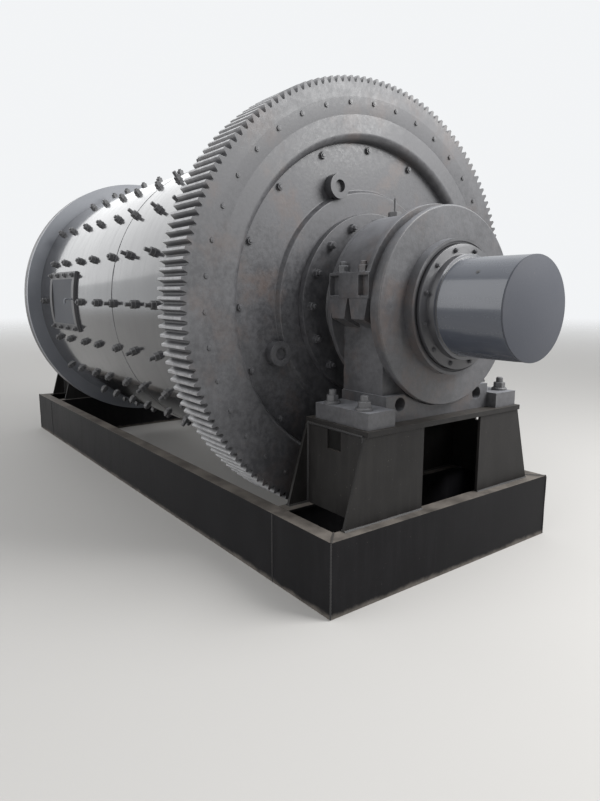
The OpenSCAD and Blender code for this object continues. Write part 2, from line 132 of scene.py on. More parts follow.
class Socket:
    """A number in a material's node tree, with arithmetic that adds Math nodes."""

    def __init__(self, graph: "Graph", source: bpy.types.NodeSocket) -> None:
        """Wraps an output socket of the graph."""
        self.graph = graph
        self.source = source

    def _math(self, operation: str, first: Number, second: Number = 0.0) -> "Socket":
        """Adds a Math node on two numbers."""
        return self.graph.add("ShaderNodeMath", {"operation": operation}, {0: first, 1: second})

    def __add__(self, other: Number) -> "Socket":
        """self + other."""
        return self._math("ADD", self, other)

    __radd__ = __add__

    def __sub__(self, other: Number) -> "Socket":
        """self - other."""
        return self._math("SUBTRACT", self, other)

    def __rsub__(self, other: Number) -> "Socket":
        """other - self."""
        return self._math("SUBTRACT", other, self)

    def __mul__(self, other: Number) -> "Socket":
        """self * other."""
        return self._math("MULTIPLY", self, other)

    __rmul__ = __mul__

    def __pow__(self, other: Number) -> "Socket":
        """self ** other."""
        return self._math("POWER", self, other)

    def __abs__(self) -> "Socket":
        """abs(self)."""
        return self._math("ABSOLUTE", self)

    def ramp(self, low: float, high: float) -> "Socket":
        """Turns the number into a smooth mask.

        Args:
            low: The value at which the mask is 0.
            high: The value at which the mask is 1.

        Returns:
            The mask, from 0 to 1.
        """
        return self.graph.add(
            "ShaderNodeMapRange",
            {"interpolation_type": "SMOOTHSTEP", "clamp": True},
            {"Value": self, "From Min": low, "From Max": high, "To Min": 0.0, "To Max": 1.0},
        )


class Graph:
    """A new material and the one method that adds nodes to its tree."""

    def __init__(self, name: str) -> None:
        """Starts a material.

        Args:
            name: The material's name.
        """
        self.material = bpy.data.materials.new(name)
        self.material.use_nodes = True
        self.tree = self.material.node_tree
        self.shader = self.tree.nodes["Principled BSDF"]

    def add(self, kind: str, settings: dict, inputs: dict, output: Union[int, str] = 0) -> Socket:
        """Adds a node.

        Args:
            kind: The node's type.
            settings: The node's own properties, which are set first.
            inputs: A value or a Socket for each named or numbered input.
            output: The output that is wanted.

        Returns:
            That output.
        """
        node = self.tree.nodes.new(kind)
        for key, value in settings.items():
            setattr(node, key, value)
        for key, value in inputs.items():
            self.feed(node.inputs[key], value)
        return Socket(self, node.outputs[output])

    def feed(self, target: bpy.types.NodeSocket, value: Union[Number, tuple]) -> None:
        """Links a Socket to an input, or sets the input's own value.

        Args:
            target: The input.
            value: The Socket, number, vector or colour that it gets.
        """
        if isinstance(value, Socket):
            self.tree.links.new(value.source, target)
        elif isinstance(value, tuple) and target.type == "RGBA":
            target.default_value = (*value, 1.0)
        else:
            target.default_value = value

    def place(self) -> Socket:
        """The Object coordinates, in metres."""
        return self.add("ShaderNodeTexCoord", {}, {}, "Object")

    def facing(self, letter: str) -> Socket:
        """One coordinate of the direction that the surface faces."""
        return self.axis(self.add("ShaderNodeTexCoord", {}, {}, "Normal"), letter)

    def noise(self, place: Socket, scale: float, detail: float = 3.0, rough: float = 0.55) -> Socket:
        """A noise value.

        Args:
            place: Where to read it.
            scale: Features in each metre.
            detail: The number of finer layers.
            rough: The weight of those layers.

        Returns:
            The value, near 0.5 on average.
        """
        inputs = {"Vector": place, "Scale": scale, "Detail": detail, "Roughness": rough}
        return self.add("ShaderNodeTexNoise", {}, inputs, "Fac")

    def mask(self, place: Socket, pattern: "Pattern") -> Socket:
        """A pattern's mask, from 0 to 1."""
        value = self.noise(place, pattern.scale, pattern.detail, pattern.rough)
        return value.ramp(pattern.low, pattern.high)

    def stretch(self, place: Socket, scale: tuple) -> Socket:
        """Scales coordinates, so that a pattern on them is drawn out."""
        return self.add("ShaderNodeMapping", {}, {"Vector": place, "Scale": scale})

    def axis(self, place: Socket, letter: str) -> Socket:
        """One coordinate of a place."""
        return self.add("ShaderNodeSeparateXYZ", {}, {"Vector": place}, letter)

    def blend(self, share: Number, first: Union[tuple, Socket], second: Union[tuple, Socket]) -> Socket:
        """Mixes two colours.

        Args:
            share: How much of the second colour there is.
            first: The first colour.
            second: The second colour.

        Returns:
            The mixed colour.
        """
        settings = {"data_type": "RGBA", "clamp_factor": True}
        return self.add("ShaderNodeMix", settings, {0: share, 6: first, 7: second}, 2)

    def dress(self, values: dict) -> None:
        """Sets inputs of the material's shader, each a value or a Socket."""
        for key, value in values.items():
            self.feed(self.shader.inputs[key], value)

    def finish(self, look: "Look", base: "Paint") -> bpy.types.Material:
        """Feeds a look to the shader.

        Args:
            look: What varies over the surface.
            base: The paint that gives what doesn't vary.

        Returns:
            The finished material.
        """
        self.dress(
            {
                "Base Color": look.colour,
                "Roughness": look.rough,
                "Coat Weight": look.coat,
                "Normal": look.normal,
                "Specular IOR Level": base.specular,
                "Coat Roughness": base.coat_roughness,
            }
        )
        return self.material

    def bump(self, layers: Sequence[tuple[Socket, float]]) -> Socket:
        """Stacks bump layers.

        Args:
            layers: A height from 0 to 1 and its depth in metres, for each layer.

        Returns:
            The bent normal.
        """
        height = sum(value * depth for value, depth in layers)
        inputs = {"Strength": 1.0, "Distance": 1.0, "Height": height}
        return self.add("ShaderNodeBump", {}, inputs, "Normal")


@dataclass(frozen=True)
class Pattern:
    """Where a surface changes: a noise turned into a smooth mask.

    Attributes:
        scale: Features in each metre.
        detail: The number of finer layers.
        rough: The weight of those layers.
        low: The noise value up to which the mask is 0.
        high: The noise value from which it is 1.
    """

    scale: float
    detail: float
    rough: float
    low: float
    high: float


@dataclass(frozen=True)
class Weather:
    """How haze, rust, dust and splashes lie on paint, wherever it is.

    Attributes:
        blotches: Broad patches of haze.
        streaks: Drawn-out marks of haze.
        blotch_share: Share of the haze that is blotches, where the rest is streaks.
        mottling: Fine patches that come and go in the haze.
        rusty: Where rust tints the paint.
        rust: The colour of that tint.
        specks: Specks of dust.
        speck_share: How dusty a speck is, on clean paint.
        speck_gain: How much dustier it is inside a blotch.
        dusty: Where dust, with the painted top light it carries, lies thick on faces that look up.
        looks_up: The Z of a face's direction at which that lightening starts, and at which it is full.
        thin_dust: How much of it lies between its thick patches.
        splash_edge: Scale, detail and roughness of the noise in the edge of splashed dirt.
        splash_reach: How far that edge wanders, as a share of the splash's height.
        splash_share: How much dirt there is under the edge.
        grain_layers: Detail and roughness of the surface's fine grain.
        waves: Scale, detail and roughness of its broad waves.
        grain_rough: How much the grain changes the roughness.
        dust_rough: How much rougher dust makes the paint.
        splash_rough: How much rougher splashed dirt makes it.
        haze_dulls: Share of the gloss coat that full haze takes away.
    """

    blotches: Pattern = Pattern(2.1, 5.0, 0.62, 0.36, 0.68)
    streaks: Pattern = Pattern(3.3, 5.0, 0.60, 0.42, 0.72)
    blotch_share: float = 0.55
    mottling: Pattern = Pattern(34.0, 5.0, 0.75, 0.32, 0.68)
    rusty: Pattern = Pattern(3.7, 6.0, 0.68, 0.50, 0.70)
    rust: Colour = (0.110, 0.080, 0.068)
    specks: Pattern = Pattern(95.0, 2.0, 0.50, 0.70, 0.78)
    speck_share: float = 0.08
    speck_gain: float = 0.25
    dusty: Pattern = Pattern(7.0, 6.0, 0.65, 0.25, 0.70)
    looks_up: tuple[float, float] = (0.35, 0.95)
    thin_dust: float = 0.35
    splash_edge: tuple[float, float, float] = (11.0, 5.0, 0.7)
    splash_reach: float = 1.6
    splash_share: float = 0.6
    grain_layers: tuple[float, float] = (4.0, 0.6)
    waves: tuple[float, float, float] = (1.7, 2.0, 0.5)
    grain_rough: float = 0.12
    dust_rough: float = 0.45
    splash_rough: float = 0.4
    haze_dulls: float = 0.6


WEATHER = Weather()


class Streaks(Enum):
    """Which way brush marks and runs are drawn out, as the scale of the pattern along X, Y and Z."""

    NONE = (1.0, 1.0, 1.0)
    DOWN = (9.0, 9.0, 1.0)
    ALONG = (0.8, 7.0, 7.0)
    ROUND = (9.0, 1.0, 1.0)


class Finish(Protocol):
    """Anything that can make a material."""

    def material(self) -> bpy.types.Material:
        """Makes the material."""


@dataclass
class Look:
    """What a finish feeds to the shader.

    Attributes:
        colour: The base colour.
        rough: The roughness.
        coat: The weight of the gloss coat.
        normal: The bent normal.
    """

    colour: Socket
    rough: Socket
    coat: Socket
    normal: Socket


@dataclass(frozen=True)
class Paint:
    """Dark paint over steel or iron, with dust on it and wear in it.

    Attributes:
        name: The material's name.
        colour: The paint itself.
        haze: The colour of thin, dusty or faded places.
        haze_share: How much of the haze there is on average.
        roughness: The paint's roughness where it is clean.
        spread: How much rougher the hazy places are.
        coat: Weight of the gloss coat.
        specular: Strength of the reflection under the coat.
        coat_roughness: The coat's roughness.
        grain: Depth of the surface's fine grain.
        grain_scale: Grains in each metre.
        dent: Depth of the broad waves in the surface.
        streaks: Which way brush marks run.
        mottle: How strongly fine patches of haze come and go, as over a casting.
        rust: How strongly rust tints the paint in places.
        ledge_dust_and_top_light: How much faces that look up are lightened, partly by dust lying on them,
            partly as painted top light.
        splash: Height above the ground up to which dirt has splashed, or 0.
        dust: The colour of the dust, which on faces that look up also stands for painted top light.
    """

    name: str
    colour: Colour
    haze: Colour
    haze_share: float = 0.25
    roughness: float = 0.3
    spread: float = 0.25
    coat: float = 0.3
    specular: float = 0.5
    coat_roughness: float = 0.45
    grain: float = 0.0003
    grain_scale: float = 120.0
    dent: float = 0.002
    streaks: Streaks = Streaks.NONE
    mottle: float = 0.0
    rust: float = 0.0
    ledge_dust_and_top_light: float = 0.0
    splash: float = 0.0
    dust: Colour = (0.20, 0.18, 0.16)

    def look(self, graph: Graph) -> Look:
        """Draws the paint.

        Args:
            graph: The material that it is for.

        Returns:
            What goes to the shader.
        """
        weather = WEATHER
        place = graph.place()
        blotch = graph.mask(place, weather.blotches)
        streak = graph.mask(graph.stretch(place, self.streaks.value), weather.streaks)
        speck = graph.mask(place, weather.specks)
        grain = graph.noise(place, self.grain_scale, *weather.grain_layers)
        wave = graph.noise(place, *weather.waves)
        share = weather.blotch_share
        haze = (blotch * share + streak * (1.0 - share)) * (2.0 * self.haze_share)
        if self.mottle:
            haze = haze + (graph.mask(place, weather.mottling) - 0.5) * self.mottle
        colour = graph.blend(haze, self.colour, self.haze)
        if self.rust:
            colour = graph.blend(graph.mask(place, weather.rusty) * self.rust, colour, weather.rust)
        dusted = speck * (weather.speck_share + blotch * weather.speck_gain)
        colour = graph.blend(dusted, colour, self.dust)
        rough = self.roughness + haze * self.spread + (grain - 0.5) * weather.grain_rough
        # Faces that look up are lightened: partly settled dust, partly painted top light.
        if self.ledge_dust_and_top_light:
            up = graph.facing("Z").ramp(*weather.looks_up)
            thick = graph.mask(place, weather.dusty)
            lying_dust_and_top_light = up * (weather.thin_dust + thick * (1.0 - weather.thin_dust)) * self.ledge_dust_and_top_light
            colour = graph.blend(lying_dust_and_top_light, colour, self.dust)
            rough = rough + lying_dust_and_top_light * weather.dust_rough
        if self.splash:
            wander = (graph.noise(place, *weather.splash_edge) - 0.5) * (self.splash * weather.splash_reach)
            ragged = graph.axis(place, "Z") + wander
            dirt = (1.0 - ragged.ramp(0.0, self.splash)) * weather.splash_share
            colour = graph.blend(dirt, colour, self.dust)
            rough = rough + dirt * weather.splash_rough
        normal = graph.bump([(grain, self.grain), (wave, self.dent)])
        return Look(colour, rough, self.coat * (1.0 - haze * weather.haze_dulls), normal)

    def material(self) -> bpy.types.Material:
        """Makes the material."""
        graph = Graph(self.name)
        return graph.finish(self.look(graph), self)


@dataclass(frozen=True)
class ToothPaint:
    """The gear's paint, lighter on the tips and flanks of the teeth but not on their ends: partly rubbed
    wear, partly a painted highlight of sky reflected in the flanks.

    Attributes:
        base: The paint between the teeth and on the gear's sides.
        tip_r: Radius of the teeth's tips.
        axis_z: Height of the mill's axis.
        bare_and_sheen: The colour of the rubbed tips, lightened as a painted highlight of reflected sky.
        sheen_and_wear_from: Depth under the tips at which the wear and the painted highlight start.
        sheen_and_wear_full: Depth under the tips at which they are full.
        end_on: How far a face looks along the axis where its wear and painted highlight fade, and where they
            are none.
        patches: Where the wear and painted highlight are full.
        between: How much of them there is between those patches.
        smoother: How much less rough the rubbed and highlighted places are.
        shine: How much more gloss they have.
    """

    base: Paint
    tip_r: float
    axis_z: float
    bare_and_sheen: Colour = (0.34, 0.34, 0.35)
    sheen_and_wear_from: float = 0.020
    sheen_and_wear_full: float = 0.002
    end_on: tuple[float, float] = (0.4, 0.8)
    patches: Pattern = Pattern(26.0, 5.0, 0.70, 0.30, 0.75)
    between: float = 0.5
    smoother: float = 0.14
    shine: float = 0.6

    def material(self) -> bpy.types.Material:
        """Makes the material.

        Returns:
            The finished material.
        """
        graph = Graph(self.base.name)
        look = self.base.look(graph)
        place = graph.place()
        across = graph.axis(place, "Y")
        height = graph.axis(place, "Z") - self.axis_z
        radius = (across * across + height * height) ** 0.5
        near_tip = radius.ramp(self.tip_r - self.sheen_and_wear_from, self.tip_r - self.sheen_and_wear_full)
        off_end = 1.0 - abs(graph.facing("X")).ramp(*self.end_on)
        patchy = self.between + graph.mask(place, self.patches) * (1.0 - self.between)
        # Painted highlight: the lighter flanks stand partly for reflected sky, partly for rubbed wear.
        worn_and_sheen = near_tip * off_end * patchy
        look.colour = graph.blend(worn_and_sheen, look.colour, self.bare_and_sheen)
        look.rough = look.rough - worn_and_sheen * self.smoother
        look.coat = look.coat + worn_and_sheen * self.shine
        return graph.finish(look, self.base)


@dataclass(frozen=True)
class TubePaint:
    """The end tube's gloss paint, with the duller black of its bolted foot.

    Attributes:
        base: The paint on the tube itself.
        foot: The paint on its flange and collar.
        foot_end: Distance from the middle of the mill at which the foot ends.
        soft: How far to either side of that the two paints blend.
    """

    base: Paint
    foot: Paint
    foot_end: float
    soft: float = 0.001

    def material(self) -> bpy.types.Material:
        """Makes the material.

        Returns:
            The finished material.
        """
        graph = Graph(self.base.name)
        tube, foot = self.base.look(graph), self.foot.look(graph)
        along = abs(graph.axis(graph.place(), "X"))
        share = along.ramp(self.foot_end - self.soft, self.foot_end + self.soft)
        look = Look(
            graph.blend(share, foot.colour, tube.colour),
            foot.rough + (tube.rough - foot.rough) * share,
            foot.coat + (tube.coat - foot.coat) * share,
            tube.normal,
        )
        return graph.finish(look, self.base)


@dataclass(frozen=True)
class Bronze:
    """Machined bearing bronze with a film of oil.

    Attributes:
        name: The material's name.
        clean: The colour of clean bronze.
        oiled: Its colour under the film.
        film: Where the film lies.
        roughness: The roughness of clean bronze.
        film_rough: How much rougher the film is.
        marks: How the turning marks are drawn out along X, Y and Z.
        mark_scale: Marks in each metre before that.
        mark_depth: Depth of the marks.
    """

    name: str = "bearing_bronze"
    clean: Colour = (0.30, 0.21, 0.09)
    oiled: Colour = (0.12, 0.08, 0.04)
    film: Pattern = Pattern(9.0, 4.0, 0.55, 0.35, 0.70)
    roughness: float = 0.28
    film_rough: float = 0.2
    marks: tuple[float, float, float] = (60.0, 1.0, 1.0)
    mark_scale: float = 8.0
    mark_depth: float = 0.0002

    def material(self) -> bpy.types.Material:
        """Makes the material.

        Returns:
            The finished material.
        """
        graph = Graph(self.name)
        place = graph.place()
        turned = graph.noise(graph.stretch(place, self.marks), self.mark_scale)
        film = graph.mask(place, self.film)
        graph.dress(
            {
                "Base Color": graph.blend(film, self.clean, self.oiled),
                "Metallic": 1.0,
                "Roughness": self.roughness + film * self.film_rough,
                "Normal": graph.bump([(turned, self.mark_depth)]),
            }
        )
        return graph.material


@dataclass(frozen=True)
class Finishes:
    """Every finish on the mill, by the slot or the kind of piece that it is for."""

    # Its faces that look up are lightened partly by dust, partly as painted light where the drum shades them.
    frame: Paint = Paint(
        "frame_black", (0.0055, 0.0053, 0.0062), (0.0175, 0.017, 0.0185),
        haze_share=0.30, roughness=0.40, spread=0.2, coat=0.04, specular=0.1,
        grain=0.00025, dent=0.003, streaks=Streaks.DOWN, ledge_dust_and_top_light=0.85, splash=0.03,
    )
    pedestal: Paint = Paint(
        "pedestal_black", (0.0095, 0.0088, 0.0086), (0.029, 0.0273, 0.0265),
        haze_share=0.35, roughness=0.42, spread=0.2, coat=0.06, specular=0.2,
        grain=0.00025, dent=0.003, streaks=Streaks.DOWN, ledge_dust_and_top_light=0.22,
    )
    # Its bluish dust colour on faces that look up is partly a painted reflection of the sky.
    bearing: Paint = Paint(
        "bearing_black", (0.058, 0.058, 0.062), (0.115, 0.115, 0.122),
        haze_share=0.35, roughness=0.38, spread=0.2, coat=0.25, specular=0.45,
        grain=0.0007, grain_scale=70.0, dent=0.002, mottle=0.5, rust=0.55,
        ledge_dust_and_top_light=0.75, dust=(0.24, 0.245, 0.265),
    )
    head: Paint = Paint(
        "head_black", (0.042, 0.042, 0.046), (0.098, 0.098, 0.105),
        haze_share=0.4, roughness=0.38, spread=0.25, coat=0.3,
        grain=0.0007, grain_scale=60.0, dent=0.004, mottle=0.7, rust=0.6,
    )
    gear: Paint = Paint(
        "gear_black", (0.048, 0.048, 0.052), (0.110, 0.110, 0.116),
        haze_share=0.4, roughness=0.40, spread=0.25, coat=0.3,
        grain=0.0004, grain_scale=80.0, dent=0.003, mottle=0.6, rust=0.4,
    )
    shell: Paint = Paint(
        "shell_black", (0.020, 0.020, 0.023), (0.052, 0.052, 0.057),
        haze_share=0.2, roughness=0.14, spread=0.2, coat=1.0, coat_roughness=0.08,
        grain=0.00015, dent=0.006, streaks=Streaks.ROUND,
    )
    flange: Paint = Paint(
        "flange_grey", (0.19, 0.20, 0.225), (0.28, 0.293, 0.32),
        haze_share=0.35, roughness=0.36, spread=0.2, coat=0.25,
        grain=0.0005, grain_scale=90.0, dent=0.002,
    )
    door: Paint = Paint(
        "door_black", (0.075, 0.079, 0.089), (0.12, 0.123, 0.132),
        haze_share=0.3, roughness=0.6, spread=0.15, coat=0.0, specular=0.25,
        grain=0.0004, grain_scale=90.0, dent=0.0015,
    )
    tube: Paint = Paint(
        "tube_black", (0.055, 0.062, 0.080), (0.095, 0.102, 0.116),
        haze_share=0.3, roughness=0.22, spread=0.2, coat=0.8, coat_roughness=0.08,
        grain=0.0002, dent=0.002, streaks=Streaks.ALONG,
    )
    tube_foot: Paint = Paint(
        "tube_foot_black", (0.036, 0.036, 0.040), (0.080, 0.080, 0.086),
        haze_share=0.35, roughness=0.36, spread=0.2, coat=0.2,
        grain=0.0004, grain_scale=90.0, dent=0.001,
    )
    end_plate: Paint = Paint(
        "end_plate_black", (0.058, 0.062, 0.075), (0.077, 0.080, 0.092),
        haze_share=0.3, roughness=0.55, spread=0.15, coat=0.0, specular=0.3,
        grain=0.0003, grain_scale=90.0, dent=0.0015,
    )
    fastening: Paint = Paint(
        "fastening_black", (0.070, 0.070, 0.074), (0.145, 0.144, 0.147),
        haze_share=0.35, roughness=0.40, spread=0.2, coat=0.2,
        grain=0.0006, grain_scale=200.0, dent=0.0,
    )
    weld: Paint = Paint(
        "weld_black", (0.013, 0.0127, 0.0138), (0.040, 0.039, 0.039),
        haze_share=0.45, roughness=0.36, spread=0.2, coat=0.2, specular=0.35,
        grain=0.0006, grain_scale=180.0, dent=0.0, ledge_dust_and_top_light=0.3,
    )
    seal: Paint = Paint(
        "seal_rubber", (0.040, 0.040, 0.043), (0.075, 0.075, 0.079),
        haze_share=0.3, roughness=0.6, spread=0.15, coat=0.0, specular=0.3,
        grain=0.0003, grain_scale=150.0, dent=0.0,
    )
    bronze: Bronze = Bronze()


def round_edges(
    mesh: bmesh.types.BMesh, edges: Sequence[bmesh.types.BMEdge], width: float, steps: int = 1
) -> None:
    """Rounds edges of a bmesh.

    Args:
        mesh: The bmesh.
        edges: The edges to round.
        width: Width of the rounding.
        steps: Number of its steps.
    """
    bmesh.ops.bevel(
        mesh, geom=edges, offset=width, offset_type="OFFSET", segments=steps, profile=0.5,
        affect="EDGES", clamp_overlap=True, material=-1,
    )


class Workshop:
    """Turns finished bmeshes into pieces of the scene, and keeps one material of each finish.

    Attributes:
        merge_gap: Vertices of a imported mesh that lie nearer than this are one.
        flat_degrees: Its faces that meet at less than this are one.
        wide_edge: The width above which a rounding has more steps.
        few_steps: Steps of a narrow rounding.
        more_steps: Steps of a wide one.
    """

    merge_gap = 0.00002
    flat_degrees = 0.6
    wide_edge = 0.01
    few_steps = 2
    more_steps = 5

    def __init__(self) -> None:
        """Starts with no materials made."""
        self.made: dict[Finish, bpy.types.Material] = {}

    def paint(self, finish: Finish) -> bpy.types.Material:
        """Finds or makes a finish's material.

        Args:
            finish: The finish.

        Returns:
            Its one material.
        """
        if finish not in self.made:
            self.made[finish] = finish.material()
        return self.made[finish]

    def piece(
        self, name: str, mesh: bmesh.types.BMesh, finish: Finish, body: Body, slot: Slot
    ) -> bpy.types.Object:
        """Makes an object of a bmesh and frees the bmesh.

        Args:
            name: The piece's name.
            mesh: The shape, in place.
            finish: What it is painted with.
            body: The body that it rides on.
            slot: Not used.

        Returns:
            The new object.
        """
        mesh.normal_update()
        for edge in mesh.edges:
            edge.smooth = edge.calc_face_angle(0.0) < math.radians(SHARP_DEGREES)
        for face in mesh.faces:
            face.smooth = True
        data = bpy.data.meshes.new(name)
        mesh.to_mesh(data)
        mesh.free()
        data.materials.append(self.paint(finish))
        made = bpy.data.objects.new(name, data)
        bpy.context.scene.collection.objects.link(made)
        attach(made, body.value)
        log.info("%s: %d faces, on %s", name, len(data.polygons), body.value)
        return made

    def soften(
        self, frame: dict, node: str, width: Callable[[Vector], float], finish: Finish, body: Body, slot: Slot
    ) -> None:
        """Replaces a node by a copy whose sharp edges are rounded.

        Args:
            frame: The loaded frame.
            node: The node's name.
            width: Gives the width of the rounding at a place.
            finish: What it is painted with.
            body: The body that it rides on.
            slot: The record's slot that it takes its finish from.
        """
        mesh = bmesh.new()
        mesh.from_mesh(frame["nodes"][node].data)
        bmesh.ops.remove_doubles(mesh, verts=mesh.verts, dist=self.merge_gap)
        flat = math.radians(self.flat_degrees)
        bmesh.ops.dissolve_limit(mesh, angle_limit=flat, verts=mesh.verts, edges=mesh.edges)
        mesh.normal_update()
        sharp = math.radians(SHARP_DEGREES)
        by_width: dict[float, list[bmesh.types.BMEdge]] = {}
        for edge in mesh.edges:
            if edge.calc_face_angle(0.0) > sharp:
                middle = (edge.verts[0].co + edge.verts[1].co) / 2
                by_width.setdefault(width(middle), []).append(edge)
        for size, edges in by_width.items():
            round_edges(mesh, edges, size, self.more_steps if size > self.wide_edge else self.few_steps)
        rounded = self.piece(f"{node}_rounded", mesh, finish, body, slot)
        if slot is not Slot.TUBE:
            normals = rounded.modifiers.new("flat_faces_stay_flat", "WEIGHTED_NORMAL")
            normals.keep_sharp = True
        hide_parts(node)


def append_copies(target: bmesh.types.BMesh, source: bpy.types.Mesh, places: Iterable[Matrix]) -> None:
    """Adds copies of a mesh to a bmesh.

    Args:
        target: The bmesh that grows.
        source: The mesh to copy.
        places: Where each copy goes.
    """
    for place in places:
        before = len(target.verts)
        target.from_mesh(source)
        target.verts.ensure_lookup_table()
        bmesh.ops.transform(target, matrix=place, verts=target.verts[before:])


def on_face(x: float, radius: float, angle: float, axis_z: float, end: End) -> Matrix:
    """The place of a fastening on a face across the axis, pointing out of the mill's end.

    Args:
        x: Distance of the face from the middle of the mill.
        radius: Distance from the axis.
        angle: Angle about the axis, in degrees.
        axis_z: Height of the axis.
        end: The end of the mill.

    Returns:
        The matrix that takes +Z to the outward direction.
    """
    turn = math.radians(angle)
    spot = Vector((end.value * x, radius * math.cos(turn), axis_z + radius * math.sin(turn)))
    tip = Matrix.Rotation(end.value * math.pi / 2, 4, "Y")
    return Matrix.Translation(spot) @ Matrix.Rotation(turn, 4, "X") @ tip


def on_drum(x: float, radius: float, angle: float, axis_z: float) -> Matrix:
    """The place of a fastening on the drum, pointing away from the axis.

    Args:
        x: Place along the axis.
        radius: Radius of the surface, into which the fastening's foot is sunk a little.
        angle: Angle about the axis, in degrees.
        axis_z: Height of the axis.

    Returns:
        The matrix that takes +Z to the outward direction.
    """
    turn = math.radians(angle)
    foot_r = radius - SUNK
    spot = Vector((x, foot_r * math.cos(turn), axis_z + foot_r * math.sin(turn)))
    return Matrix.Translation(spot) @ Matrix.Rotation(turn - math.pi / 2, 4, "X")


def turned(
    profile: Sequence[tuple[float, float]], end: End, axis_z: float, steps: int = 120
) -> bmesh.types.BMesh:
    """Turns a closed outline about the mill's axis.

    Args:
        profile: Distance from the middle of the mill and radius of each corner.
        end: The end of the mill.
        axis_z: Height of the axis.
        steps: Number of steps round the axis.

    Returns:
        A bmesh of the turned piece.
    """
    mesh = bmesh.new()
    verts = [mesh.verts.new((end.value * x, 0.0, axis_z + radius)) for x, radius in profile]
    edges = [mesh.edges.new((verts[step - 1], verts[step])) for step in range(len(verts))]
    bmesh.ops.spin(
        mesh, geom=verts + edges, cent=(0.0, 0.0, axis_z), axis=(1.0, 0.0, 0.0),
        angle=2 * math.pi, steps=steps, use_merge=True,
    )
    bmesh.ops.recalc_face_normals(mesh, faces=mesh.faces)
    return mesh


@dataclass(frozen=True)
class Fastening:
    """A bolt end with its nut and washer, standing along +Z.

    Attributes:
        across: Width of the nut across its flats.
        nut_h: Height of the nut.
        stud_r: Radius of the bolt.
        stud_out: How far the bolt stands past the nut.
        washer_r: Radius of the washer.
        washer_h: Thickness of the washer, or 0 for none.
        sides: Number of sides of the bolt and washer.
        washer_edge: Rounding of the washer, as a share of its thickness.
        nut_edge: Rounding of the nut, as a share of its height.
        stud_edge: Rounding of the bolt, as a share of its radius.
        stud_foot: Where in the nut the bolt starts, as a share of the nut's height.
    """

    across: float
    nut_h: float
    stud_r: float
    stud_out: float
    washer_r: float = 0.0
    washer_h: float = 0.0
    sides: int = 12
    washer_edge: float = 0.3
    nut_edge: float = 0.12
    stud_edge: float = 0.2
    stud_foot: float = 0.9

    @staticmethod
    def disc(
        mesh: bmesh.types.BMesh, sides: int, radius: float, low: float, high: float, edge: float
    ) -> None:
        """Adds a prism with its top edge rounded off.

        Args:
            mesh: The bmesh that grows.
            sides: Number of sides.
            radius: Radius at the corners.
            low: Height of its foot.
            high: Height of its top.
            edge: Width of the rounding.
        """
        middle = (low + high) / 2
        made = bmesh.ops.create_cone(
            mesh, cap_ends=True, segments=sides, radius1=radius, radius2=radius, depth=high - low,
            matrix=Matrix.Translation((0.0, 0.0, middle)),
        )
        top = {vert for vert in made["verts"] if vert.co.z > middle}
        rim = [line for line in mesh.edges if line.verts[0] in top and line.verts[1] in top]
        round_edges(mesh, rim, edge)

    def template(self) -> bpy.types.Mesh:
        """Builds the fastening once.

        Returns:
            Its mesh, for copying.
        """
        mesh = bmesh.new()
        seat = self.washer_h
        if self.washer_h:
            self.disc(mesh, self.sides, self.washer_r, 0.0, seat, self.washer_h * self.washer_edge)
        nut_top = seat + self.nut_h
        self.disc(mesh, 6, self.across / math.sqrt(3), seat, nut_top, self.nut_h * self.nut_edge)
        foot = seat + self.nut_h * self.stud_foot
        tip = nut_top + self.stud_out
        self.disc(mesh, self.sides, self.stud_r, foot, tip, self.stud_r * self.stud_edge)
        data = bpy.data.meshes.new("fastening_template")
        mesh.to_mesh(data)
        mesh.free()
        return data

    def at(self, places: Iterable[Matrix]) -> bmesh.types.BMesh:
        """Copies the fastening to many places.

        Args:
            places: Where each copy goes.

        Returns:
            A bmesh of all the copies.
        """
        mesh = bmesh.new()
        template = self.template()
        append_copies(mesh, template, places)
        bpy.data.meshes.remove(template)
        return mesh


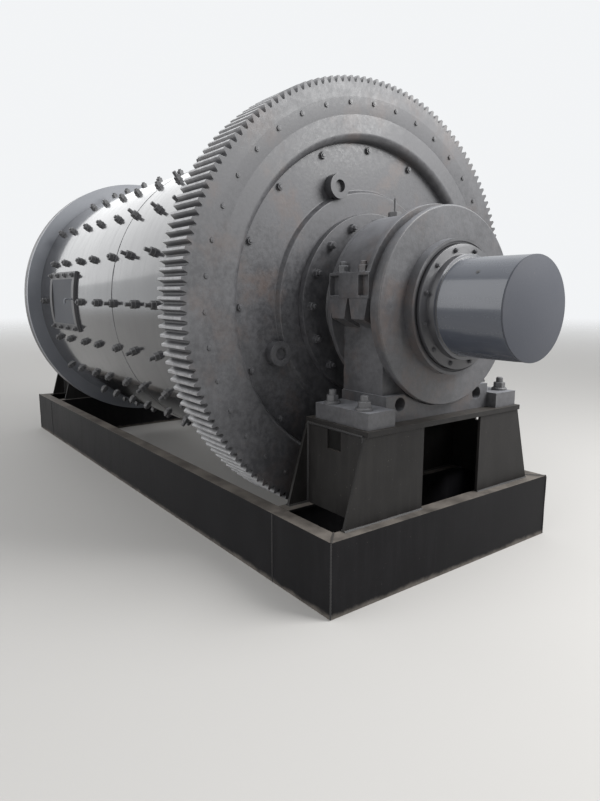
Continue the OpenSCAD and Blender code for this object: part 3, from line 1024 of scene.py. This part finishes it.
@dataclass(frozen=True)
class Welding:
    """Beads of weld laid along joints.

    Attributes:
        radius: Radius of the bead.
        pitch: Length of one ripple.
        sides: Number of sides of the bead's section.
        steps: Number of steps along one ripple.
        depth: Depth of the ripples, as a share of the radius.
        wander: How unevenly the bead swells along the joint, as a share of the radius.
        wander_scale: Changes of that swelling in each metre.
        merge_gap: Vertices of the rolled-up bead nearer than this are one.
    """

    radius: float = 0.007
    pitch: float = 0.014
    sides: int = 6
    steps: int = 3
    depth: float = 0.16
    wander: float = 0.35
    wander_scale: float = 9.0
    merge_gap: float = 0.0001

    def lay(self, mesh: bmesh.types.BMesh, path: Callable[[float], Matrix], length: float) -> None:
        """Lays a bead along a path.

        Args:
            mesh: The bmesh that grows.
            path: Gives the plane of the bead's section at a distance along the joint.
            length: Length of the joint.
        """
        ripples = max(1, round(length / self.pitch))
        single = bmesh.new()
        bmesh.ops.create_grid(single, x_segments=self.steps * ripples, y_segments=self.sides, size=0.5)
        for vert in single.verts:
            share, turn = vert.co.x + 0.5, (vert.co.y + 0.5) * 2 * math.pi
            place = path(share * length)
            ripple = self.depth * math.sin(2 * math.pi * ripples * share)
            drift = self.wander * noise.noise(place.translation * self.wander_scale)
            out = self.radius * (1.0 + ripple + drift)
            vert.co = place @ Vector((out * math.cos(turn), out * math.sin(turn), 0.0))
        bmesh.ops.remove_doubles(single, verts=single.verts, dist=self.merge_gap)
        bmesh.ops.holes_fill(single, edges=[e for e in single.edges if e.is_boundary], sides=0)
        bmesh.ops.recalc_face_normals(single, faces=single.faces)
        data = bpy.data.meshes.new("bead")
        single.to_mesh(data)
        single.free()
        mesh.from_mesh(data)
        bpy.data.meshes.remove(data)

    def straight(self, mesh: bmesh.types.BMesh, start: Vector, end: Vector) -> None:
        """Lays a bead between two points.

        Args:
            mesh: The bmesh that grows.
            start: One end of the joint.
            end: Its other end.
        """
        run = end - start
        turn = run.to_track_quat("Z", "Y").to_matrix().to_4x4()
        self.lay(mesh, lambda along: Matrix.Translation(start + run.normalized() * along) @ turn, run.length)

    def hoop(self, mesh: bmesh.types.BMesh, x: float, radius: float, axis_z: float) -> None:
        """Lays a bead round the mill's axis.

        Args:
            mesh: The bmesh that grows.
            x: Place along the axis.
            radius: Radius of the joint.
            axis_z: Height of the axis.
        """
        centre = Matrix.Translation((x, 0.0, axis_z))
        section = Matrix.Translation((0.0, radius, 0.0))
        length = 2 * math.pi * radius
        self.lay(mesh, lambda along: centre @ Matrix.Rotation(along / radius, 4, "X") @ section, length)


@dataclass(frozen=True)
class GearEdges:
    """How the girth gear's edges are rounded.

    Attributes:
        face_x: X of the face of its inward flange.
        axis_z: Height of the axis.
        on_face: How near to that face an edge counts as on it.
        hole_limit: A radius between the flange's hole and the gear's rim.
        hole_round: Rounding of the hole's outer edge.
        other_round: Rounding of all other edges.
    """

    face_x: float
    axis_z: float
    on_face: float = 0.001
    hole_limit: float = 0.90
    hole_round: float = 0.038
    other_round: float = 0.0012

    def width(self, spot: Vector) -> float:
        """Finds the rounding of an edge.

        Args:
            spot: The edge's middle.

        Returns:
            The width of the rounding.
        """
        radius = math.hypot(spot.y, spot.z - self.axis_z)
        is_hole = spot.x > self.face_x - self.on_face and radius < self.hole_limit
        return self.hole_round if is_hole else self.other_round


@dataclass
class DrumFittings:
    """What is bolted or welded to the drum's shell.

    Attributes:
        rows: Number of rows of liner bolts round the drum.
        starts: X of the first bolt in even rows and in odd rows.
        bolts: Number of bolts in even rows and in odd rows.
        pair_pitch: Distance between pairs of bolts in a row.
        pair_gap: Distance between the two bolts of a pair.
        long_from: X from which the bolts stand out further.
        liner_bolt: The liner bolts' ends.
        long_bolt: The ends of those that stand out further.
        hatch_bolt: The bolts in the manhole's frame.
        hatch_bolt_x: Distances of those bolts from the manhole's middle.
        hatch_bolt_angle: Angle of those bolts above and below it.
        seam: The welds between the shell's plates.
        seam_x: Place of the weld round the shell.
        seam_angles: Angles of the welds along it.
        seam_margins: How far those stay away from the shell's two ends.
        seam_sunk: How deep the middle of a weld lies under the surface.
    """

    rows: int = 20
    starts: tuple[float, float] = (-1.262, -1.057)
    bolts: tuple[int, int] = (9, 8)
    pair_pitch: float = 0.648
    pair_gap: float = 0.293
    long_from: float = 0.28
    liner_bolt: Fastening = Fastening(
        across=0.043, nut_h=0.025, stud_r=0.012, stud_out=0.011, washer_r=0.027, washer_h=0.005, sides=10
    )
    long_bolt: Fastening = Fastening(
        across=0.043, nut_h=0.025, stud_r=0.012, stud_out=0.032, washer_r=0.027, washer_h=0.005, sides=10
    )
    hatch_bolt: Fastening = Fastening(
        across=0.030, nut_h=0.016, stud_r=0.010, stud_out=0.012, washer_r=0.019, washer_h=0.003, sides=10
    )
    hatch_bolt_x: tuple[float, ...] = (-0.275, -0.092, 0.092, 0.275)
    hatch_bolt_angle: float = 11.8
    seam: Welding = Welding(radius=0.005, pitch=0.02, depth=0.1)
    seam_x: float = 0.302
    seam_angles: tuple[float, float] = (62.0, -35.0)
    seam_margins: tuple[float, float] = (0.05, 0.1)
    seam_sunk: float = 0.003

    def liner_spots(self) -> list[tuple[float, float]]:
        """Works out where the liner bolts stand, leaving out those in the manhole's way.

        Returns:
            The place along the axis and the angle of each bolt.
        """
        low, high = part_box("manhole_frame")
        hatch_angle = math.degrees(math.asin((high.z - low.z) / 2 / -low.y))
        spots = []
        for row in range(self.rows):
            kind = row % 2
            turn = 360.0 * row / self.rows
            for bolt in range(self.bolts[kind]):
                x = self.starts[kind] + self.pair_pitch * (bolt // 2) + self.pair_gap * (bolt % 2)
                if not (min(turn, 360.0 - turn) < hatch_angle and low.x < x < high.x):
                    spots.append((x, 180.0 - turn))
        return spots

    def build(self, shop: Workshop, finishes: Finishes, axis_z: float) -> None:
        """Makes the pieces.

        Args:
            shop: Where pieces are made.
            finishes: The finishes to use.
            axis_z: Height of the axis.
        """
        low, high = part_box("shell")
        radius = (high.y - low.y) / 2
        spots = self.liner_spots()
        kinds = {True: (self.long_bolt, "long_liner_bolts"), False: (self.liner_bolt, "liner_bolts")}
        for is_long, (bolt, name) in kinds.items():
            chosen = [spot for spot in spots if (spot[0] > self.long_from) is is_long]
            mesh = bolt.at(on_drum(x, radius, angle, axis_z) for x, angle in chosen)
            shop.piece(name, mesh, finishes.fastening, Body.DRUM, Slot.SHELL)
        hatch_low, hatch_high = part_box("manhole_frame")
        middle = (hatch_low.x + hatch_high.x) / 2
        places = [
            on_drum(middle + x, -hatch_low.y, 180.0 + side * self.hatch_bolt_angle, axis_z)
            for x in self.hatch_bolt_x for side in (-1, 1)
        ]
        shop.piece("manhole_bolts", self.hatch_bolt.at(places), finishes.fastening, Body.DRUM, Slot.SHELL)
        seams = bmesh.new()
        line_r = radius - self.seam_sunk
        self.seam.hoop(seams, self.seam_x, line_r, axis_z)
        starts = (low.x + self.seam_margins[0], self.seam_x)
        ends = (self.seam_x, high.x - self.seam_margins[1])
        for start, end, angle in zip(starts, ends, self.seam_angles):
            turn = math.radians(angle)
            spot = Vector((0.0, line_r * math.cos(turn), axis_z + line_r * math.sin(turn)))
            self.seam.straight(seams, spot + Vector((start, 0, 0)), spot + Vector((end, 0, 0)))
        shop.piece("shell_weld_seams", seams, finishes.fastening, Body.DRUM, Slot.SHELL)


@dataclass(frozen=True)
class Ring:
    """Fastenings round a circle on a face across the axis.

    Attributes:
        name: The piece's name, without the word for the end.
        slot: The record's slot of the piece.
        radius: Radius of the circle.
        count: Number of fastenings.
        first: Angle of the first of them.
        bolt: The fastening.
    """

    name: str
    slot: Slot
    radius: float
    count: int
    first: float
    bolt: Fastening

    def lay(self, shop: Workshop, finish: Finish, x: float, axis_z: float, end: End) -> None:
        """Makes the piece.

        Args:
            shop: Where pieces are made.
            finish: What it is painted with.
            x: Distance of the face from the middle of the mill.
            axis_z: Height of the axis.
            end: The end of the mill.
        """
        angles = [self.first + 360.0 * step / self.count for step in range(self.count)]
        mesh = self.bolt.at(on_face(x, self.radius, angle, axis_z, end) for angle in angles)
        shop.piece(f"{end.title}_{self.name}", mesh, finish, Body.DRUM, self.slot)


@dataclass
class HeadFittings:
    """What is bolted or welded to one end of the drum.

    Attributes:
        end: The end of the mill.
        head_ring: The bolts in the head.
        flange_ring: The bolts through the drum's flange.
        stud_ring: The studs on the trunnion's flange.
        tube_ring: The bolts on the tube's flange.
        trunnion_flange_t: Thickness of the trunnion's flange.
        tube_flange_t: Thickness of the tube's flange.
        collar_h: Height of the collar past the tube's flange.
        tube_bead: The weld round the tube's foot.
        plug: The plug in the drive end's tube.
        plug_place: Its place along the axis and its angle.
        gear_lip: How far the gear's rim stands out past its inward flange.
        gear_seat_gap: Gap between the drum's flange and the inside of the gear's rim.
        slope_w: Width of the slope from the gear's inward flange to its rim.
        slope_foot: Thickness of the slope at its thin edge.
        slope_top: Width of the flat at its thick edge.
        slope_below: How far that flat stays below the rim's face.
        slope_steps: Number of steps round the slope.
    """

    end: End
    head_ring: Ring = Ring(
        "head_bolts", Slot.HEAD, radius=0.802, count=16, first=0.0,
        bolt=Fastening(0.030, nut_h=0.010, stud_r=0.010, stud_out=0.004, washer_r=0.020, washer_h=0.003),
    )
    flange_ring: Ring = Ring(
        "flange_bolts", Slot.GEAR, radius=1.016, count=40, first=1.0,
        bolt=Fastening(0.022, nut_h=0.006, stud_r=0.007, stud_out=0.0015),
    )
    stud_ring: Ring = Ring(
        "trunnion_studs", Slot.HEAD, radius=0.426, count=16, first=0.0,
        bolt=Fastening(0.036, nut_h=0.020, stud_r=0.012, stud_out=0.016, washer_r=0.023, washer_h=0.003),
    )
    tube_ring: Ring = Ring(
        "tube_bolts", Slot.TUBE, radius=0.264, count=12, first=15.0,
        bolt=Fastening(0.018, 0.008, stud_r=0.006, stud_out=0.004, washer_r=0.012, washer_h=0.002, sides=10),
    )
    trunnion_flange_t: float = 0.040
    tube_flange_t: float = 0.022
    collar_h: float = 0.036
    tube_bead: Welding = Welding(radius=0.0035)
    plug: Fastening = Fastening(across=0.016, nut_h=0.004, stud_r=0.005, stud_out=0.002)
    plug_place: tuple[float, float] = (2.515, 137.0)
    gear_lip: float = 0.010
    gear_seat_gap: float = 0.003
    slope_w: float = 0.080
    slope_foot: float = 0.0003
    slope_top: float = 0.0006
    slope_below: float = 0.0001
    slope_steps: int = 240

    def gear_slope(self, shop: Workshop, finishes: Finishes, axis_z: float) -> float:
        """Fills the step from the gear's inward flange to its rim.

        Args:
            shop: Where pieces are made.
            finishes: The finishes to use.
            axis_z: Height of the axis.

        Returns:
            X of the slope where the flange's bolts stand.
        """
        flange_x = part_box("girth_gear")[1].x - self.gear_lip
        lip_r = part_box("drive_shell_flange")[1].y + self.gear_seat_gap
        foot_r = lip_r - self.slope_w
        top_x = flange_x + self.gear_lip - self.slope_below
        outline = (
            (flange_x - SUNK, foot_r), (flange_x + self.slope_foot, foot_r), (top_x, lip_r - self.slope_top),
            (top_x, lip_r + SUNK), (flange_x - SUNK, lip_r + SUNK),
        )
        slope = turned(outline, self.end, axis_z, self.slope_steps)
        shop.piece("gear_rim_fillet", slope, finishes.gear, Body.DRUM, Slot.GEAR)
        return flange_x + self.gear_lip * (self.flange_ring.radius - foot_r) / self.slope_w

    def build(self, shop: Workshop, finishes: Finishes, axis_z: float) -> None:
        """Makes the pieces.

        Args:
            shop: Where pieces are made.
            finishes: The finishes to use.
            axis_z: Height of the axis.
        """
        title = self.end.title
        rim_x = face_x = self.end.reach("head_eyes")[0]
        self.head_ring.lay(shop, finishes.head, face_x, axis_z, self.end)
        if self.end is End.DRIVE:
            rim_x = self.gear_slope(shop, finishes, axis_z)
        self.flange_ring.lay(shop, finishes.gear, rim_x, axis_z, self.end)
        stud_x = self.end.reach("head")[1] + self.trunnion_flange_t
        self.stud_ring.lay(shop, finishes.head, stud_x, axis_z, self.end)
        tube_x = self.end.reach("tube")[0] + self.tube_flange_t
        self.tube_ring.lay(shop, finishes.tube_foot, tube_x, axis_z, self.end)
        low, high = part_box(f"{title}_tube_plate")
        tube_r = (high.z - low.z) / 2
        root = bmesh.new()
        self.tube_bead.hoop(root, self.end.value * (tube_x + self.collar_h), tube_r + SUNK, axis_z)
        shop.piece(f"{title}_tube_weld", root, finishes.fastening, Body.DRUM, Slot.TUBE)
        if self.end is End.DRIVE:
            place = on_drum(self.plug_place[0], tube_r, self.plug_place[1], axis_z)
            shop.piece("drive_tube_plug", self.plug.at([place]), finishes.fastening, Body.DRUM, Slot.TUBE)


@dataclass
class BearingFittings:
    """The fastenings, the oil fitting and the seal of one bearing.

    Attributes:
        end: The end of the mill.
        cap_bolt: The bolts that hold the cap.
        bolt_x: Distances of the cap bolts from the housing's middle.
        bolt_y: Sideways place of the cap bolts.
        shoulder_h: Height of the cap's shoulder.
        foot_bolt: The bolts in the feet.
        foot_bolt_x: Distances of the foot bolts from the housing's middle.
        foot_bolt_y: Sideways place of the foot bolts.
        foot_h: Height of the feet.
        oil_rod: The oil fitting.
        oil_x: Distance of the oil fitting from the cap's inner end.
        oil_y: Sideways place of the oil fitting.
        oil_sunk: How deep its foot is sunk into the cover.
        seal_r: Smallest radius of the seal, inside the hole of the outer cover.
        seal_out: Radius at which it meets that hole.
        seal_depth: How far the seal lies behind the cover's outer end.
        seal_t: Thickness of the seal.
        seal_edge: Width of the slant on its inner edge.
    """

    end: End
    cap_bolt: Fastening = Fastening(
        across=0.046, nut_h=0.028, stud_r=0.015, stud_out=0.018, washer_r=0.030, washer_h=0.005, sides=14
    )
    bolt_x: tuple[float, float] = (-0.070, 0.070)
    bolt_y: float = 0.428
    shoulder_h: float = 0.116
    foot_bolt: Fastening = Fastening(
        across=0.052, nut_h=0.028, stud_r=0.018, stud_out=0.026, washer_r=0.040, washer_h=0.014, sides=14
    )
    foot_bolt_x: tuple[float, float] = (-0.06, 0.160)
    foot_bolt_y: float = 0.493
    foot_h: float = 0.076
    oil_rod: Fastening = Fastening(across=0.060, nut_h=0.024, stud_r=0.0055, stud_out=0.066)
    oil_x: float = 0.010
    oil_y: float = -0.045
    oil_sunk: float = 0.004
    seal_r: float = 0.2888
    seal_out: float = 0.3024
    seal_depth: float = 0.003
    seal_t: float = 0.008
    seal_edge: float = 0.0015

    def stand(
        self, shop: Workshop, name: str, bolt: Fastening, finish: Finish, spots: Iterable[tuple]
    ) -> None:
        """Makes a piece of fastenings that stand upright on the bearing.

        Args:
            shop: Where pieces are made.
            name: The piece's name, without the word for the end.
            bolt: The fastening.
            finish: What it is painted with.
            spots: Distance from the middle of the mill, Y and Z of each foot.
        """
        mesh = bolt.at(Matrix.Translation((self.end.value * x, y, z)) for x, y, z in spots)
        shop.piece(f"{self.end.title}_{name}", mesh, finish, Body.BASE, Slot.BEARING)

    def build(self, shop: Workshop, finishes: Finishes, axis_z: float) -> None:
        """Makes the pieces.

        Args:
            shop: Where pieces are made.
            finishes: The finishes to use.
            axis_z: Height of the axis.
        """
        title = self.end.title
        inner_x, outer_x = self.end.reach("bearing_cap")
        middle = (inner_x + outer_x) / 2
        top_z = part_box(f"{title}_bearing_cap")[0].z + self.shoulder_h
        foot_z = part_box(f"{title}_bearing_housing")[0].z + self.foot_h
        sides = (-1, 1)
        caps = [(middle + x, side * self.bolt_y, top_z) for x in self.bolt_x for side in sides]
        self.stand(shop, "cap_bolts", self.cap_bolt, finishes.bearing, caps)
        feet = [(middle + x, side * self.foot_bolt_y, foot_z) for x in self.foot_bolt_x for side in sides]
        self.stand(shop, "foot_bolts", self.foot_bolt, finishes.fastening, feet)
        low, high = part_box(f"{title}_bearing_inner_cover")
        top_r = (high.y - low.y) / 2
        seat_z = (low.z + high.z) / 2 + math.sqrt(top_r**2 - self.oil_y**2)
        oil = (inner_x + self.oil_x, self.oil_y, seat_z - self.oil_sunk)
        self.stand(shop, "oil_fitting", self.oil_rod, finishes.fastening, [oil])
        face = self.end.reach("bearing_outer_cover")[1] - self.seal_depth
        back = face - self.seal_t
        outline = (
            (back, self.seal_r), (face - self.seal_edge, self.seal_r), (face, self.seal_r + self.seal_edge),
            (face, self.seal_out), (back, self.seal_out),
        )
        seal = turned(outline, self.end, axis_z)
        shop.piece(f"{title}_seal", seal, finishes.seal, Body.BASE, Slot.BEARING)


@dataclass
class FrameFittings:
    """The welds of the base frame and the pedestals.

    Attributes:
        frame_bead: The welds of the base frame.
        pedestal_bead: The welds of the pedestals.
        side_seam_x: Place of the weld across a side beam.
        flange_w: Width of a beam's flanges.
        end_gap: How far an upright weld ends short of the beam's edges.
        opening_low: Lowest Y of the opening in a pedestal's outer plate.
        opening_high: Highest Y of that opening.
    """

    frame_bead: Welding = Welding(radius=0.0035, pitch=0.016)
    pedestal_bead: Welding = Welding()
    side_seam_x: float = 1.891
    flange_w: float = 0.082
    end_gap: float = 0.004
    opening_low: float = -0.182
    opening_high: float = 0.238

    def build(self, shop: Workshop, finishes: Finishes) -> None:
        """Makes the pieces.

        Args:
            shop: Where pieces are made.
            finishes: The finishes to use.
        """
        low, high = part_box("side_beam_right")
        left_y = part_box("side_beam_left")[0].y
        top = high.z
        seams = bmesh.new()
        for y in (left_y, high.y):
            for x in (-self.side_seam_x, self.side_seam_x, low.x, high.x):
                foot, head = Vector((x, y, self.end_gap)), Vector((x, y, top - self.end_gap))
                self.frame_bead.straight(seams, foot, head)
                if x in (low.x, high.x):
                    inner_x = x - math.copysign(self.flange_w, x)
                    inner_y = y - math.copysign(self.flange_w, y)
                    self.frame_bead.straight(seams, Vector((x, y, top)), Vector((inner_x, inner_y, top)))
        shop.piece("frame_weld_seams", seams, finishes.weld, Body.BASE, Slot.FRAME)
        for end in End:
            self.pedestal(shop, finishes, end, top)

    def pedestal(self, shop: Workshop, finishes: Finishes, end: End, top: float) -> None:
        """Lays the beads round one pedestal.

        Args:
            shop: Where pieces are made.
            finishes: The finishes to use.
            end: The end of the mill.
            top: Height of the frame's top.
        """
        bead = self.pedestal_bead
        welds = bmesh.new()
        outer = end.reach("pedestal_outer_plate")
        inner = end.reach("pedestal_inner_plate")
        foot_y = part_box(f"{end.title}_pedestal_inner_plate")[1].y
        web_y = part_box(f"{end.title}_pedestal_webs")[1].y
        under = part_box(f"{end.title}_top_plate")[0].z
        runs = [(x, *run) for x in reversed(outer) for run in self.beside_opening(foot_y)]
        runs += [(x, -foot_y, foot_y) for x in inner]
        for x, start, stop in runs:
            spot = end.value * x
            bead.straight(welds, Vector((spot, start, top)), Vector((spot, stop, top)))
        for side in (-1, 1):
            near = Vector((end.value * inner[1], side * web_y, 0.0))
            far = Vector((end.value * outer[0], side * web_y, 0.0))
            rise, drop = Vector((0, 0, under)), Vector((0, 0, top))
            bead.straight(welds, near + drop, near + rise)
            bead.straight(welds, far + drop, far + rise)
            bead.straight(welds, near + rise, far + rise)
        shop.piece(f"{end.title}_pedestal_welds", welds, finishes.weld, Body.BASE, Slot.PEDESTAL)

    def beside_opening(self, foot_y: float) -> tuple[tuple[float, float], tuple[float, float]]:
        """The Y of both runs of weld beside the opening, at an outer plate that ends at foot_y."""
        return (-foot_y, self.opening_low), (self.opening_high, foot_y)


class LampKind(Enum):
    """The kinds of lamp in use."""

    SUN = "SUN"
    AREA = "AREA"


@dataclass(frozen=True)
class Lamp:
    """A soft lamp.

    Attributes:
        name: The lamp's name.
        kind: SUN for even light from far away, AREA for a square lamp.
        place: Where it hangs.
        aim: The point that it faces.
        power: Its strength, in watts for a square lamp.
        spread: Its width, in degrees for a sun and in metres for a square lamp.
    """

    name: str
    kind: LampKind
    place: Place
    aim: Place
    power: float
    spread: float

    def hang(self) -> None:
        """Puts the lamp in the scene."""
        data = bpy.data.lights.new(self.name, self.kind.value)
        data.energy = self.power
        if self.kind is LampKind.SUN:
            data.angle = math.radians(self.spread)
        else:
            data.size = self.spread
        made = bpy.data.objects.new(self.name, data)
        made.location = self.place
        made.rotation_euler = (Vector(self.aim) - Vector(self.place)).to_track_quat("-Z", "Y").to_euler()
        bpy.context.scene.collection.objects.link(made)


@dataclass
class Studio:
    """The camera, the floor and the light.

    Attributes:
        camera_place: The camera's place.
        camera_pitch: How far it looks down, in degrees.
        camera_turn: Its turn about Z, in degrees.
        focal_px: Focal length in pixels of the picture.
        picture_h: Height of the picture in pixels.
        sensor: Height of the sensor in millimetres.
        view_end: How far the camera sees.
        floor_colour: Colour of the floor.
        floor_rough: Roughness of the floor.
        floor_specular: Strength of its reflection.
        floor_fade: Distances between which the floor fades into the background.
        sky_colour: Colour of the sky.
        fill: Strength of the sky as plain light.
        sky: Strength of the sky where it is seen or mirrored.
        lamps: The lamps.
    """

    camera_place: Place = (4.1397, -2.3052, 1.3696)
    camera_pitch: float = 10.1238
    camera_turn: float = 53.2479
    focal_px: float = 606.24
    picture_h: float = 801.0
    sensor: float = 36.0
    view_end: float = 200.0
    floor_colour: Colour = (0.50, 0.49, 0.475)
    floor_rough: float = 0.85
    floor_specular: float = 0.2
    floor_fade: tuple[float, float] = (6.0, 34.0)
    sky_colour: Colour = (0.97, 0.985, 1.0)
    fill: float = 0.56
    sky: float = 0.92
    lamps: tuple[Lamp, ...] = (
        Lamp("key_lamp", LampKind.SUN, (-1.5, -7.0, 5.4), (0.0, 0.0, 1.3), power=1.15, spread=60.0),
        Lamp("back_lamp", LampKind.SUN, (-9.0, 0.0, 5.3), (0.0, 0.0, 1.3), power=0.32, spread=50.0),
        Lamp("top_lamp", LampKind.SUN, (1.0, 2.0, 8.0), (0.0, 0.0, 1.3), power=0.35, spread=90.0),
        Lamp("sheen_lamp", LampKind.AREA, (5.2, 2.6, 4.7), (1.7, -0.1, 2.1), power=440.0, spread=3.6),
    )

    def camera(self) -> None:
        """Sets up the camera at the photograph's place."""
        data = bpy.data.cameras.new("camera")
        data.sensor_fit = "VERTICAL"
        data.sensor_height = self.sensor
        data.lens = self.focal_px * self.sensor / self.picture_h
        data.clip_end = self.view_end
        made = bpy.data.objects.new("camera", data)
        made.location = self.camera_place
        made.rotation_euler = (math.radians(90.0 - self.camera_pitch), 0.0, math.radians(self.camera_turn))
        bpy.context.scene.collection.objects.link(made)
        bpy.context.scene.camera = made

    def floor(self) -> None:
        """Lays a plain floor under the mill, which fades into the background far out."""
        mesh = bmesh.new()
        bmesh.ops.create_grid(mesh, x_segments=2, y_segments=2, size=self.floor_fade[1])
        data = bpy.data.meshes.new("floor")
        mesh.to_mesh(data)
        mesh.free()
        graph = Graph("floor")
        place = graph.place()
        across, along = graph.axis(place, "X"), graph.axis(place, "Y")
        distance = (across * across + along * along) ** 0.5
        graph.dress(
            {
                "Base Color": self.floor_colour,
                "Roughness": self.floor_rough,
                "Alpha": 1.0 - distance.ramp(*self.floor_fade),
                "Specular IOR Level": self.floor_specular,
            }
        )
        data.materials.append(graph.material)
        made = bpy.data.objects.new("floor", data)
        bpy.context.scene.collection.objects.link(made)

    def world(self) -> None:
        """Makes a soft sky: dim as plain light, and pale where it is seen or mirrored."""
        world = bpy.data.worlds.new("sky")
        bpy.context.scene.world = world
        world.use_nodes = True
        tree = world.node_tree
        tree.nodes.clear()
        path = tree.nodes.new("ShaderNodeLightPath")
        seen = path.outputs["Is Camera Ray"]
        for name in ("Is Glossy Ray", "Is Transmission Ray"):
            both = tree.nodes.new("ShaderNodeMath")
            both.operation = "MAXIMUM"
            tree.links.new(seen, both.inputs[0])
            tree.links.new(path.outputs[name], both.inputs[1])
            seen = both.outputs[0]
        mix = tree.nodes.new("ShaderNodeMixShader")
        tree.links.new(seen, mix.inputs[0])
        for strength, target in ((self.fill, mix.inputs[1]), (self.sky, mix.inputs[2])):
            light = tree.nodes.new("ShaderNodeBackground")
            light.inputs["Color"].default_value = (*self.sky_colour, 1.0)
            light.inputs["Strength"].default_value = strength
            tree.links.new(light.outputs[0], target)
        out = tree.nodes.new("ShaderNodeOutputWorld")
        tree.links.new(mix.outputs[0], out.inputs["Surface"])

    def build(self) -> None:
        """Sets up everything that isn't part of the mill."""
        self.camera()
        self.floor()
        self.world()
        for lamp in self.lamps:
            lamp.hang()


EDGE_WIDTHS: dict[Slot, float] = {
    Slot.FRAME: 0.003,
    Slot.PEDESTAL: 0.0015,
    Slot.BEARING: 0.004,
    Slot.HEAD: 0.004,
    Slot.TUBE: 0.002,
}
"""How wide the edges of nodes are rounded, by slot; the gear has its own way, the rest stay as packed."""


def evenly(width: float) -> Callable[[Vector], float]:
    """A rounding of one width all over a node."""
    return lambda spot: width


def dress_nodes(frame: dict, shop: Workshop, finishes: Finishes, axis_z: float) -> None:
    """Paints every node and rounds the edges of those that have sharp ones.

    Args:
        frame: The loaded frame.
        shop: Where pieces are made.
        finishes: The finishes to use.
        axis_z: Height of the axis.
    """
    gear_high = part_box("girth_gear")[1]
    collar_end = End.DRIVE.reach("tube")[0] + HeadFittings.tube_flange_t + HeadFittings.collar_h
    paints: dict[Slot, Finish] = {
        Slot.FRAME: finishes.frame,
        Slot.PEDESTAL: finishes.pedestal,
        Slot.BEARING: finishes.bearing,
        Slot.BUSH: finishes.bronze,
        Slot.HEAD: finishes.head,
        Slot.GEAR: ToothPaint(finishes.gear, gear_high.y, axis_z),
        Slot.SHELL: finishes.shell,
        Slot.TUBE: TubePaint(finishes.tube, finishes.tube_foot, collar_end),
    }
    own: dict[str, Finish] = {
        "drive_shell_flange": finishes.flange,
        "tail_shell_flange": finishes.flange,
        # The manhole frame takes the lighter fastening paint, partly a painted reflection of the sky on its
        # border.
        "manhole_frame": finishes.fastening,
        "manhole_door": finishes.door,
        "manhole_handle": finishes.flange,
        "drive_tube_plate": finishes.end_plate,
        "tail_tube_plate": finishes.end_plate,
    }
    widths = {slot: evenly(width) for slot, width in EDGE_WIDTHS.items()}
    widths[Slot.GEAR] = GearEdges(gear_high.x - HeadFittings.gear_lip, axis_z).width
    for row in frame["record"]["subparts"]:
        node, slot = row["node"], Slot(row["material_slot"])
        body = Body(frame["nodes"][node]["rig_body"])
        finish = own.get(node, paints[slot])
        if slot in widths:
            shop.soften(frame, node, widths[slot], finish, body, slot)
        else:
            data = frame["nodes"][node].data
            data.materials.clear()
            data.materials.append(shop.paint(finish))


def main() -> None:
    """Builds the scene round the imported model."""
    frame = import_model()
    bpy.context.scene.view_settings.view_transform = "Standard"
    low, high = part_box("shell")
    axis_z = (low.z + high.z) / 2
    Studio().build()
    shop = Workshop()
    finishes = Finishes()
    dress_nodes(frame, shop, finishes, axis_z)
    DrumFittings().build(shop, finishes, axis_z)
    for end in End:
        HeadFittings(end).build(shop, finishes, axis_z)
        BearingFittings(end).build(shop, finishes, axis_z)
    FrameFittings().build(shop, finishes)


if __name__ == "__main__":
    logging.basicConfig(level=logging.INFO, format="%(message)s")
    main()
